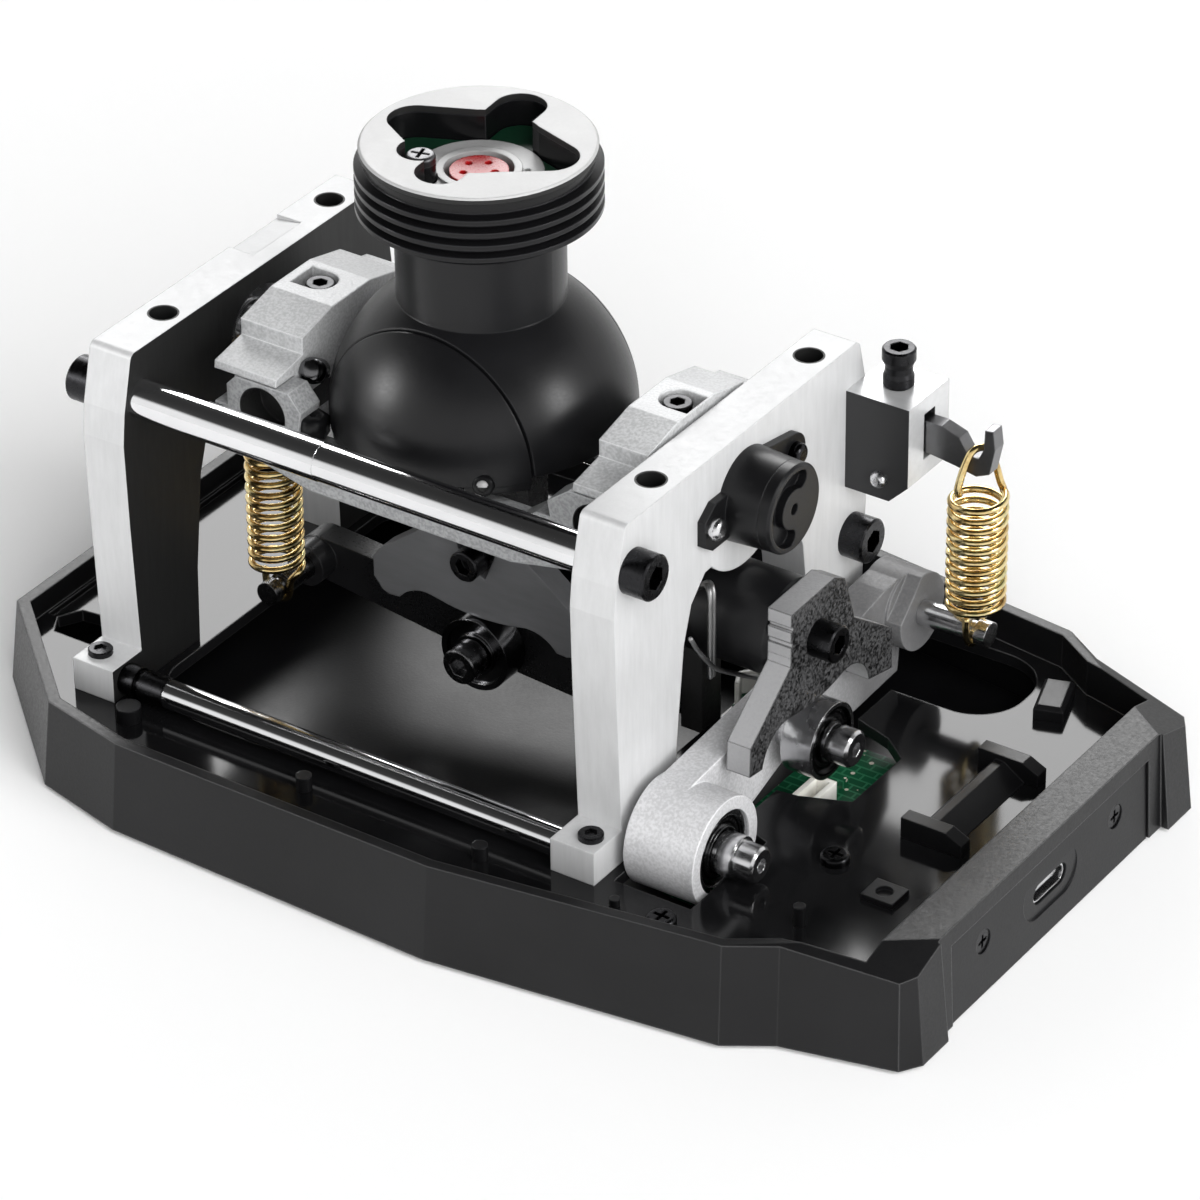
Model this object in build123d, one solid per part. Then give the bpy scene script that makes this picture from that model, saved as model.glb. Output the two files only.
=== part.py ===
from build123d import *
import os
from math import atan2, cos, degrees, hypot, radians, sin, tan

# Two-axis flight-stick base with its cover and grip removed.
# The parts are drawn about the centre of the gimbal: x = 0 is midway between the side plates,
# the outer axis runs along X through y = 0, z = 0, and +Z is up. save() then moves every part so
# that z = 0 is the table and the origin is under the middle of the whole base.

# ---------------------------------------------------------------- driving dimensions, mm
TRAY_BOTTOM = -56.0
FOOT_PROUD = 0.8
TRAY_LEFT = -67.2
TRAY_RIGHT = 101.4
ORIGIN_SHIFT = (-(TRAY_LEFT + TRAY_RIGHT) / 2, 0, FOOT_PROUD - TRAY_BOTTOM)

DECK_TOP = -45.7
DECK_THICK = 2.0
RIM_LEFT = -42.0          # rim height at the left end
RIM_RIGHT = -39.5         # rim height at the right end
RIM_WIDTH = 1.6
WALL_DRAFT = 5.7
STRIP_INNER = 92.6        # inner edge of the raised strip over the data inlet

PLATE_IN = 39.5           # inner face of a side plate
PLATE_THICK = 7.5
PLATE_OUT = PLATE_IN + PLATE_THICK
PLATE_TOP = 10.2
PLATE_BACK = 30.7
TOP_HOLE_X = 43.1
TOP_HOLES_Y = (-18.3, 23.1)
TOP_HOLE_R = 2.1
TOP_HOLE_DEEP = 9.0
FOOT_TIP = 39.3
FOOT_TOP = -40.2

STICK_X = 1.5             # stick axis
DOME_R = 22.8
DOME_WALL = 1.6
BAND_HALF = 13.5          # half width of the moving band of the dome
CAP_START = 13.9          # where the fixed caps begin
NECK_R = 12.5
THREAD_R = 18.0           # M36 x 2 grip thread
THREAD_PITCH = 2.0
COLLAR_TOP = 43.6
COLLAR_LOW = 32.4
RECESS_FLOOR = 38.0
SCREW_SEAT = 41.6             # top of the post under the collar screw
COLLAR_SCREW = (-5.5, -6.6)   # from the stick axis

BEARING_R = 7.0
AXLE_R = 3.0
RUN_GAP = 0.05            # radial clearance of a running fit
TILT = 13.0               # travel of each axis, either way

ROLLER_R = 6.0
ROLLER_GAP = 0.2
OUTER_ROLLER_Z = -37.2
INNER_ROLLER_Z = -41.7
OUTER_CAM_X = (55.5, 59.5)
INNER_CAM_Y = (-3.0, 1.0)
CARRIER_Z = -20.2
CARRIER_R = 7.7

ARM_PIVOT = (-26.0, -42.3)          # outer follower arm, y and z
ARM_PIN = (33.0, -34.2)
INNER_PIVOT = (STICK_X + 26.0, -43.0)   # inner follower arm, x and z
INNER_PIN = (-31.5, -38.5)

ROD_R = 3.0
ROD_FRONT = (-29.0, 2.1)
ROD_REAR = (29.0, -22.0)
LOW_ROD = (36.0, -43.0)
LOW_ROD_R = 2.25


# ---------------------------------------------------------------- helpers
def save(name, shape):
    """Write one part, moved to the table frame."""
    os.makedirs("parts", exist_ok=True)
    solids = (Pos(*ORIGIN_SHIFT) * shape).solids()
    export_step(solids[0] if len(solids) == 1 else Compound(children=solids), f"parts/{name}.step")


def block(x0, x1, y0, y1, z0, z1):
    return Pos((x0 + x1) / 2, (y0 + y1) / 2, (z0 + z1) / 2) * Box(x1 - x0, y1 - y0, z1 - z0)


def rod_x(x0, x1, y, z, r):
    return Pos((x0 + x1) / 2, y, z) * Rot(0, 90, 0) * Cylinder(r, x1 - x0)


def rod_y(y0, y1, x, z, r):
    return Pos(x, (y0 + y1) / 2, z) * Rot(90, 0, 0) * Cylinder(r, y1 - y0)


def rod_z(z0, z1, x, y, r):
    return Pos(x, y, (z0 + z1) / 2) * Cylinder(r, z1 - z0)


def face(points):
    return make_face(Polyline(*points, close=True))


def plate_yz(points, x0, x1):
    """An outline of (y, z) points, thick from x0 to x1."""
    return Pos(x0, 0, 0) * extrude(Plane.YZ * face(points), x1 - x0)


def plate_xz(points, y0, y1):
    """An outline of (x, z) points, thick from y0 to y1."""
    return Pos(0, y1, 0) * extrude(Plane.XZ * face(points), y1 - y0)


def plate_xy(points, z0, z1):
    return Pos(0, 0, z0) * extrude(face(points), z1 - z0)


def hull_yz(circles, x0, x1):
    """Convex arm outline round circles of (y, z, r), thick from x0 to x1."""
    rounds = Sketch() + [Pos(y, z) * Circle(r) for y, z, r in circles]
    return Pos(x0, 0, 0) * extrude(Plane.YZ * make_hull(rounds.edges()), x1 - x0)


def hull_xz(circles, y0, y1):
    rounds = Sketch() + [Pos(x, z) * Circle(r) for x, z, r in circles]
    return Pos(0, y1, 0) * extrude(Plane.XZ * make_hull(rounds.edges()), y1 - y0)


def both_sides(points):
    """Close a list of front points (y < 0) with its mirror image."""
    return points + [(x, -y) for x, y in reversed(points)]


def socket_head(head_r, head_h, shank_r, shank_l):
    """Socket-head screw along +Z, the underside of its head at z = 0."""
    head = Pos(0, 0, head_h / 2) * Cylinder(head_r, head_h)
    head = chamfer(head.edges().group_by(Axis.Z)[-1], 0.08 * head_r)
    socket = Pos(0, 0, 0.55 * head_h) * extrude(RegularPolygon(0.55 * head_r, 6), head_h)
    shank = Pos(0, 0, -shank_l / 2) * Cylinder(shank_r, shank_l)
    return head - socket + shank


# ---------------------------------------------------------------- tray
TRAY_FRONT = [(TRAY_LEFT, -30.0), (-44.7, -50.4), (-28.8, -54.3), (28.5, -55.8), (75.0, -49.8),
              (81.9, -45.4), (99.3, -41.2), (TRAY_RIGHT, -38.0)]
WALL_HIGH = RIM_RIGHT - TRAY_BOTTOM + 1
WELL = (-38.0, 38.0, 31.0)           # opening between the plates: x from, x to, half width in y
END_HALF = 31.2                      # half width of the recessed end face
PANEL_HALF = 27.5
BOSS_SPOTS = [(-52.0, -30.0), (-52.0, 30.0), (84.0, -34.5), (84.0, 34.5)]


def end_face_x(z):
    """The end face leans in by 0.8 mm from its foot to the rim."""
    return 100.1 - 0.8 * (z - TRAY_BOTTOM) / (RIM_RIGHT - TRAY_BOTTOM)


def corner_facet(side):
    """Half space above the flat bevel on one right-hand corner of the rim."""
    slope = Plane(origin=(99.0, side * 31.0, -39.6), z_dir=(30.9, side * 47.9, 173.5))
    return slope * Pos(0, 0, 20) * Box(60, 60, 40)


def rim_cut():
    lean = degrees(atan2(RIM_RIGHT - RIM_LEFT, TRAY_RIGHT - TRAY_LEFT))
    middle = ((TRAY_LEFT + TRAY_RIGHT) / 2, 0, (RIM_LEFT + RIM_RIGHT) / 2)
    return Pos(*middle) * Rot(0, -lean, 0) * Pos(0, 0, 15) * Box(220, 160, 30)


def rear_hole():
    """Large rounded opening in the deck under the outer spring."""
    hole = block(48.6, 73.6, 27.5, 45.4, DECK_TOP - 4, DECK_TOP + 2)
    return fillet(hole.edges().filter_by(Axis.Z).group_by(Axis.X)[-1], 8.0)


def base_tray():
    outline = face(both_sides(TRAY_FRONT))
    top_inset = WALL_HIGH * tan(radians(WALL_DRAFT))
    top = offset(outline, -top_inset, kind=Kind.INTERSECTION)
    tray = loft([outline, Pos(0, 0, WALL_HIGH) * top], ruled=True)
    tray = Pos(0, 0, TRAY_BOTTOM) * tray - rim_cut()
    tray = tray - corner_facet(-1) - corner_facet(1)
    pocket = extrude(offset(outline, -(top_inset + RIM_WIDTH), kind=Kind.INTERSECTION), 20)
    pocket = Pos(0, 0, DECK_TOP) * pocket & block(-80, STRIP_INNER, -70, 70, -60, 0)
    under = extrude(offset(outline, -2.6, kind=Kind.INTERSECTION), DECK_TOP - DECK_THICK - TRAY_BOTTOM)
    under = Pos(0, 0, TRAY_BOTTOM) * under & block(-80, 97.0, -70, 70, -60, 0)
    over = [(99.3, RIM_RIGHT + 1), (110, RIM_RIGHT + 1), (110, TRAY_BOTTOM - 1), (100.1, TRAY_BOTTOM - 1)]
    tray = tray - pocket - under - plate_xz(over, -END_HALF, END_HALF)
    tray = tray - block(94.2, 97.6, -30.0, 30.0, TRAY_BOTTOM - 1, -42.2)
    for x, y in BOSS_SPOTS:
        tray = tray + rod_z(TRAY_BOTTOM + 1.4, DECK_TOP - 1, x, y, 3.4)
    for x, y in BOSS_SPOTS:
        tray = tray - rod_z(TRAY_BOTTOM, TRAY_BOTTOM + 7, x, y, 1.25)
    well = block(WELL[0], WELL[1], -WELL[2], WELL[2], -60, -40)
    well = fillet(well.edges().filter_by(Axis.Z), 5)
    side_hole = plate_xy([(48.6, -36.5), (61.6, -36.5), (61.6, -16.5), (55.6, -14.5), (55.6, -4.5), (59.0, -4.0),
                          (66.5, -1.0), (66.5, 12.5), (62.0, 16.0), (55.6, 18.0), (55.6, 28.0), (48.6, 28.0)], -60, -40)
    left_hole = plate_xy([(-61.5, -25.0), (-59.5, -21.5), (-51.0, -20.5), (-50.0, -24.5), (-52.0, -28.5),
                          (-59.5, -28.5)], -60, -40)
    end_hole = block(96.0, 104, -PANEL_HALF - 0.3, PANEL_HALF + 0.3, TRAY_BOTTOM - 1, -42.4)
    tray = tray - well - side_hole - left_hole - end_hole - rear_hole()
    for x, y, w, d in ((-62.6, 0, 1.4, 50), (-40.0, 45.0, 22, 1.2)):
        tray = tray - block(x - w / 2, x + w / 2, y - d / 2, y + d / 2, DECK_TOP - 1.0, DECK_TOP + 1)
    return tray


def deck_posts():
    """Small moulded pins and a square pad that stand on the deck."""
    posts = []
    for x, y, r, h in ((-2.3, -42.0, 1.2, 2.4), (29.4, -42.5, 1.2, 2.4), (76.4, -31.0, 0.9, 3.2),
                       (52.0, -41.5, 0.8, 1.2), (-35.0, -41.5, 1.9, 2.4), (-2.3, 42.0, 1.2, 2.4)):
        posts.append(rod_z(DECK_TOP, DECK_TOP + h, x, y, r))
    pad = block(80.3, 85.6, -21.0, -16.4, DECK_TOP, DECK_TOP + 0.9)
    posts.append(pad - rod_z(DECK_TOP + 0.3, DECK_TOP + 2, 82.9, -18.7, 1.3))
    return Compound(children=posts)


def clip_bracket():
    """Two uprights with a slanted cross web, that hold the cover's latch."""
    uprights = []
    for y in (-3.6, 18.0):
        uprights.append(plate_xz([(77.0, DECK_TOP), (87.2, DECK_TOP), (87.2, -43.6), (84.5, -42.3), (77.0, -42.3)],
                                 y - 1.2, y + 1.2))
    web = plate_xz([(78.0, DECK_TOP), (85.0, DECK_TOP), (81.4, -43.2), (80.0, -43.2)], -2.4, 16.8)
    return uprights[0] + uprights[1] + web


def latch_block():
    body = Pos(0, 0, DECK_TOP + 1.2) * Box(4.6, 8.4, 2.4)
    return Pos(78.2, 36.8, 0) * Rot(0, 0, 18) * chamfer(body.edges().group_by(Axis.Z)[-1], 0.6)


def deck_screws():
    screws = []
    for x, y in ((72.3, -15.0), (60.0, -41.5)):
        head = rod_z(DECK_TOP, DECK_TOP + 1.3, x, y, 2.2)
        head = fillet(head.edges().group_by(Axis.Z)[-1], 0.6)
        cross = block(x - 1.3, x + 1.3, y - 0.3, y + 0.3, DECK_TOP + 0.7, DECK_TOP + 2)
        cross += block(x - 0.3, x + 0.3, y - 1.3, y + 1.3, DECK_TOP + 0.7, DECK_TOP + 2)
        screws.append(head - cross)
    return screws


def end_panel():
    foot, top = TRAY_BOTTOM, -42.7
    side = [(end_face_x(foot) - 0.4, foot), (end_face_x(top) - 0.4, top), (97.3, top), (97.3, foot)]
    panel = plate_xz(side, -PANEL_HALF, PANEL_HALF)
    pocket = Pos(99.2, 0, -48.2) * Rot(0, 90, 0) * Rot(0, 0, 90) * extrude(SlotOverall(15.0, 7.4), 3)
    mouth = Pos(96, 0, -48.2) * Rot(0, 90, 0) * Rot(0, 0, 90) * extrude(SlotOverall(9.3, 3.5), 6)
    panel = panel - pocket - mouth
    for y in (-18.6, 18.6):
        panel = panel - rod_x(96, 102, y, -47.2, 1.3) - rod_x(98.1, 102, y, -47.2, 1.9)
    return panel


def end_panel_screws():
    screws = []
    for y in (-18.6, 18.6):
        head = rod_x(98.1, 99.1, y, -47.2, 1.85)
        shank = rod_x(94.6, 98.1, y, -47.2, 1.25)
        cross = block(98.6, 99.5, y - 1.1, y + 1.1, -47.45, -46.95)
        cross = cross + block(98.6, 99.5, y - 0.25, y + 0.25, -48.3, -46.1)
        screws.append(head + shank - cross)
    return screws


def usb_inlet():
    """Obround metal shell with its inner tongue, on the end of its little board."""
    turn = Rot(0, 90, 0) * Rot(0, 0, 90)
    shell = Pos(94.4, 0, -48.2) * turn * extrude(SlotOverall(8.9, 3.2), 4.5)
    hollow = Pos(95.2, 0, -48.2) * turn * extrude(SlotOverall(8.3, 2.6), 8)
    tongue = block(95.1, 98.2, -3.3, 3.3, -48.55, -47.85)
    return shell - hollow + tongue


def bottom_cover():
    outline = offset(face(both_sides(TRAY_FRONT)), -2.9, kind=Kind.INTERSECTION)
    cover = Pos(0, 0, TRAY_BOTTOM + 0.2) * extrude(outline, 1.2) & block(-80, 96.6, -70, 70, -60, 0)
    for x, y in BOSS_SPOTS:
        cover = cover - rod_z(-60, -50, x, y, 1.6)
    return cover


def cover_screws():
    screws = []
    for x, y in BOSS_SPOTS:
        shank = rod_z(TRAY_BOTTOM, TRAY_BOTTOM + 6.5, x, y, 1.25)
        screws.append(shank + rod_z(TRAY_BOTTOM - 0.4, TRAY_BOTTOM + 0.2, x, y, 2.6))
    return screws


def rubber_feet():
    spots = [(-55.0, -22.0), (-55.0, 22.0), (84.0, -25.0), (84.0, 25.0)]
    low, high = TRAY_BOTTOM - FOOT_PROUD, TRAY_BOTTOM + 0.2
    return Compound(children=[rod_z(low, high, x, y, 5.5) for x, y in spots])


def control_board():
    low = TRAY_BOTTOM + 2.2
    board = block(50.0, 90.5, -26.0, 20.0, low, low + 1.6)
    parts = board
    for x, y, w, d, h in ((65.5, -6.0, 7.0, 7.0, 1.0), (56.5, 8.0, 4.0, 6.0, 1.2), (76.0, -14.0, 9.0, 5.0, 1.1),
                          (66.0, -18.0, 3.0, 3.0, 2.0), (70.0, 8.0, 3.0, 3.0, 1.4)):
        parts = parts + block(x - w / 2, x + w / 2, y - d / 2, y + d / 2, low + 1.6, low + 1.6 + h)
    return Compound(children=[parts, inlet_board()])


def board_connector():
    """White lead connector on the board beside the window."""
    low = TRAY_BOTTOM + 3.8
    body = block(56.4, 60.2, -3.2, 4.8, low, low + 4.4)
    return body - block(57.2, 59.4, -2.4, 4.0, low + 1.5, low + 6)


def inlet_board():
    return block(84.0, 97.2, -6.0, 6.0, -51.0, -49.8)


# ---------------------------------------------------------------- side plates and tie rods
def window_outline():
    """Arch between the legs: straight slanted legs that meet a round crown under the bearing."""
    legs = [(-18.2, DECK_TOP - 1), (-17.8, -33.0), (-15.9, -17.4), (-14.0, -11.6), (-10.4, -8.05), (-9.0, -8.0)]
    arch = face(legs + [(-y, z) for y, z in reversed(legs)])
    return arch - Circle(11.8)


def side_plate(side):
    front = [(-PLATE_BACK, PLATE_TOP), (-33.0, 1.0), (-33.6, -4.0), (-33.2, -18.0), (-32.2, FOOT_TOP),
             (-FOOT_TIP, FOOT_TOP), (-FOOT_TIP, DECK_TOP)]
    outline = face(front + [(-y, z) for y, z in reversed(front)])
    profile = outline - window_outline() - Circle(BEARING_R)
    plate = Pos(PLATE_IN, 0, 0) * extrude(Plane.YZ * profile, PLATE_THICK)
    top = plate.edges().filter_by(Axis.X).filter_by(lambda e: e.center().Z > PLATE_TOP - 0.1)
    plate = fillet(top, 1.2)
    for y in TOP_HOLES_Y:
        plate = plate - rod_z(PLATE_TOP - TOP_HOLE_DEEP, PLATE_TOP + 1, TOP_HOLE_X, y, TOP_HOLE_R)
    for y, z in (ROD_FRONT, ROD_REAR):
        plate = plate - rod_x(PLATE_IN - 1, PLATE_OUT + 1, y, z, 2.0)
    for y in (-LOW_ROD[0], LOW_ROD[0]):
        plate = plate - rod_x(PLATE_IN - 1, PLATE_IN + 2, y, LOW_ROD[1], 1.5)
        plate = plate - rod_z(DECK_TOP - 1, FOOT_TOP + 1, 44.3, y, 1.25)
    if side < 0:
        plate = mirror(plate, about=Plane.YZ)
        notch = Pos(-PLATE_OUT, 9.0, PLATE_TOP) * Rot(0, -6, 0) * Box(9.0, 12.0, 1.2)
        return plate - notch
    plate = plate - rod_x(PLATE_IN + 1.5, PLATE_OUT + 1, ARM_PIVOT[0], ARM_PIVOT[1], 2.2)
    return plate - rod_x(PLATE_OUT - 4, PLATE_OUT + 1, 30.0, -5.0, 1.5)


def foot_screws():
    screws = []
    for x in (-44.3, 44.3):
        for y in (-LOW_ROD[0], LOW_ROD[0]):
            screws.append(Pos(x, y, FOOT_TOP) * socket_head(1.9, 0.9, 1.25, 5.4))
    return screws


def tie_rod(y, z):
    """Polished rod between the plates: thicker left part, a fine joint, flats near the joint."""
    inside = PLATE_IN
    rod = rod_x(-inside, -6.5, y, z, ROD_R) + rod_x(-6.5, inside, y, z, ROD_R - 0.12)
    rod = rod - rod_x(-inside, -inside + 10, y, z, 1.65) - rod_x(inside - 10, inside, y, z, 1.65)
    return rod


def low_tie_rod(y):
    z = LOW_ROD[1]
    rod = rod_x(-PLATE_IN + 8, PLATE_IN, y, z, LOW_ROD_R)
    rod = rod + rod_x(-PLATE_IN + 3.5, -PLATE_IN + 8, y, z, 1.5)
    return rod + rod_x(-PLATE_IN - 2, -PLATE_IN + 3.5, y, z, 1.5) + rod_x(PLATE_IN, PLATE_IN + 2, y, z, 1.5)


def low_rod_sleeves():
    sleeves = []
    for y in (-LOW_ROD[0], LOW_ROD[0]):
        sleeve = rod_x(-PLATE_IN, -PLATE_IN + 2.6, y, LOW_ROD[1], 2.4)
        sleeve += rod_x(-PLATE_IN + 2.6, -PLATE_IN + 3.6, y, LOW_ROD[1], 1.9)
        sleeve += rod_x(-PLATE_IN + 3.6, -PLATE_IN + 8, y, LOW_ROD[1], 2.4)
        sleeves.append(sleeve - rod_x(-PLATE_IN, -PLATE_IN + 8, y, LOW_ROD[1], 1.5))
    return Compound(children=sleeves)


def tie_rod_screws():
    screws = []
    for y, z in (ROD_FRONT, ROD_REAR):
        for side in (-1, 1):
            head = socket_head(3.5, 4.0, 1.65, PLATE_THICK + 8)
            screws.append(Pos(side * PLATE_OUT, y, z) * Rot(0, side * 90, 0) * head)
    return screws


def plate_bearing(side):
    """Ball bearing drawn as its two races with the shield between them."""
    x0 = PLATE_IN + 1.5
    race = rod_x(x0, PLATE_OUT - 1.0, 0, 0, BEARING_R) - rod_x(x0, PLATE_OUT, 0, 0, AXLE_R + RUN_GAP)
    groove = rod_x(PLATE_OUT - 1.4, PLATE_OUT, 0, 0, 5.6) - rod_x(PLATE_OUT - 1.4, PLATE_OUT, 0, 0, 4.2)
    inner_groove = rod_x(x0, x0 + 0.4, 0, 0, 5.6) - rod_x(x0, x0 + 0.4, 0, 0, 4.2)
    race = race - groove - inner_groove
    return race if side > 0 else mirror(race, about=Plane.YZ)


# ---------------------------------------------------------------- outer-axis sensor
EARS = [(-10.2, -0.2), (11.1, 1.5)]     # fixing ears, y and z
CAP_X = (53.4, 55.4)


def sensor_housing():
    """Coned housing with a square ear, a round ear and a tab on its flange."""
    depth = CAP_X[0] - PLATE_OUT
    body = Pos(PLATE_OUT + depth / 2, 0, 0) * Rot(0, 90, 0) * Cone(7.3, 6.9, depth)
    ear = plate_yz([(-12.4, -2.6), (-10.4, -4.0), (0, -4.0), (0, 3.4), (-9.6, 3.4), (-12.4, 1.4)], 0, 1.3)
    body = body + Pos(PLATE_OUT, 0, 0) * ear
    body = body + hull_yz([(0, 0, 6.4), (11.1, 1.5, 3.0)], PLATE_OUT, PLATE_OUT + 1.3)
    body = body + hull_yz([(0, 0, 6.4), (9.8, -7.4, 2.2)], PLATE_OUT, PLATE_OUT + 2.2)
    body = body - rod_x(PLATE_OUT - 1, 52.5, 0, 0, 5.2)
    for y, z in EARS:
        body = body - rod_x(PLATE_OUT - 1, PLATE_OUT + 1.3, y, z, 1.1) - rod_x(PLATE_OUT + 1.3, PLATE_OUT + 5, y, z, 1.8)
    return body


def sensor_cap():
    """Front disc with a deep round slot on one side of its hub."""
    cap = rod_x(CAP_X[0], CAP_X[1], 0, 0, 6.9)
    cap = chamfer(cap.edges().group_by(Axis.X)[-1], 0.35)
    slot = extrude(Plane.YZ * SlotArc(CenterArc((0, 0), 4.5, 66, 190), 2.8), 3)
    return cap - Pos(CAP_X[0] + 0.6, 0, 0) * slot - rod_x(CAP_X[1] - 1.0, CAP_X[1] + 1, 0, 0, 0.9)


def sensor_nuts():
    """Dome-headed fixing screws, one in each ear."""
    screws = []
    for y, z in EARS:
        head = rod_x(PLATE_OUT + 1.3, PLATE_OUT + 2.9, y, z, 1.75)
        head = fillet(head.edges().group_by(Axis.X)[-1], 0.9)
        screws.append(head + rod_x(PLATE_OUT, PLATE_OUT + 1.3, y, z, 1.1))
    return Compound(children=screws)


# ---------------------------------------------------------------- outer spring anchor
ANCHOR = (PLATE_OUT, 57.8, 27.2, 38.4, -12.9, 3.5)
HOOK_Y = 33.0
HOOK_T = 2.4
HOOK_TRAVEL = 0.8
HOOK_SLOT = (-6.9, 0.8)
TENSION_X = 52.4
TENSION_THREAD_R = 2.0


def spring_anchor_block():
    x0, x1, y0, y1, z0, z1 = ANCHOR
    body = block(x0, x1, y0, y1, z0, z1)
    lower = body.edges().filter_by(Axis.Y).group_by(Axis.Z)[0].sort_by(Axis.X)[-1]
    body = chamfer(lower, 3.2)
    slot = block(x0 + 2.6, x1 + 1, HOOK_Y - HOOK_T / 2 - 0.3, HOOK_Y + HOOK_T / 2 + 0.3, *HOOK_SLOT)
    bore = rod_z(z0 + 2.0, z1 + 1, TENSION_X, HOOK_Y, TENSION_THREAD_R + RUN_GAP)
    screw = rod_y(y0 - 1, y0 + 3.4, 52.9, -9.6, 0.9)
    return body - slot - bore - screw


def anchor_screw():
    """Small dome-headed screw on the front of the block."""
    head = fillet(rod_y(ANCHOR[2] - 1.1, ANCHOR[2], 52.9, -9.6, 1.3).edges().group_by(Axis.Y)[0], 0.8)
    return head + rod_y(ANCHOR[2], ANCHOR[2] + 3.2, 52.9, -9.6, 0.9)


def outer_hook():
    """Hook bar: nut eye on the tension screw, curved bar, notch and upturned tip."""
    y0, y1 = HOOK_Y - HOOK_T / 2, HOOK_Y + HOOK_T / 2
    low, high = -6.3, -0.4
    bar = [(50.6, high), (60.5, high), (63.6, -1.4), (65.2, -3.8), (66.9, -4.0), (67.8, -2.0), (67.9, 1.2),
           (69.3, 1.4), (69.7, -1.5), (68.8, -6.0), (66.6, -7.0), (63.0, low), (58.5, low + 0.6), (50.6, low + 0.6)]
    hook = plate_xz(bar, y0, y1)
    return hook - rod_z(-8, 2, TENSION_X, HOOK_Y, TENSION_THREAD_R + RUN_GAP)


def tension_screw():
    """Waisted thumb screw with a socket, its thread running down through the hook's eye."""
    z1 = ANCHOR[5]
    profile = [(0, 0.3), (2.35, 0.3), (2.35, 1.7), (2.1, 2.4), (2.1, 3.4), (2.55, 4.4), (2.55, 6.0), (2.3, 6.3), (0, 6.3)]
    head = Pos(TENSION_X, HOOK_Y, z1) * revolve(Plane.XZ * face(profile), Axis.Z)
    socket = Pos(TENSION_X, HOOK_Y, z1 + 4.2) * extrude(RegularPolygon(1.5, 6), 4)
    return head - socket + rod_z(-9.5, z1 + 0.3, TENSION_X, HOOK_Y, TENSION_THREAD_R)


# ---------------------------------------------------------------- springs
INNER_SPRING_Y = -8.6
INNER_HOOK_Z = -9.6
INNER_HOOK_R = 1.2
# axis x and y, middles of the end wires (z), ends of the coiled body (z), coil radius, wire radius,
# half width of the end loops
OUTER_SPRING = (66.4, HOOK_Y, -36.3, -2.7, -30.4, -10.4, 4.05, 0.6, 2.7)
INNER_SPRING = (INNER_PIN[0], INNER_SPRING_Y, -40.45, -7.75, -35.2, -12.2, 3.85, 0.55, 2.4)


def extension_spring(x, y, low, high, coil_low, coil_high, coil_r, wire_r, loop_r, loops_face_x):
    """Close-wound body, ribbed like its coils, with a long loop at each end."""
    turns = round((coil_high - coil_low) / (2.1 * wire_r))
    pitch = (coil_high - coil_low) / turns
    outer, inner = [], []
    for i in range(turns):
        z = coil_low + i * pitch
        for share, bulge in ((0.0, 0.35), (0.2, 0.85), (0.5, 1.0), (0.8, 0.85)):
            outer.append((coil_r + bulge * wire_r, z + share * pitch))
            inner.append((coil_r - bulge * wire_r, z + share * pitch))
    outer.append((coil_r + 0.35 * wire_r, coil_high))
    inner.append((coil_r - 0.35 * wire_r, coil_high))
    spring = Pos(x, y, 0) * revolve(Plane.XZ * face(outer + inner[::-1]), Axis.Z)
    for end, coil in ((low, coil_low + 0.3), (high, coil_high - 0.3)):
        length = abs(end - coil)
        path = SlotOverall(length, 2 * loop_r) if length > 2 * loop_r else Circle(length / 2)
        turn = Rot(0, 90, 0) if loops_face_x else Rot(0, 0, 90) * Rot(0, 90, 0)
        wire = turn * path
        wire = (Pos(x, y, (end + coil) / 2) * wire).wire()
        section = Plane(origin=wire @ 0, z_dir=wire % 0) * Circle(wire_r)
        spring = spring + sweep(section, path=wire)
    return spring


# ---------------------------------------------------------------- yoke
CHEEK_LEFT = (-33.3, -22.1)    # x range of each cheek
CHEEK_RIGHT = (30.3, 38.7)
ARCHES = (([(-31.0, -7.0), (-31.0, 2.6), (-29.4, 4.3), (-19.8, 4.3), (-17.6, 1.6), (-18.8, -7.0)], -24.6, 4.0),
          ([(38.7, -7.0), (38.7, 4.3), (29.6, 4.3), (26.0, 1.6), (27.6, -7.0)], 34.2, 3.7))   # outline, bore x, r
BAR_Y = (14.6, 19.4)           # front and rear bars of the gimbal frame
SADDLE_SCREW_Y = 0.6


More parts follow.
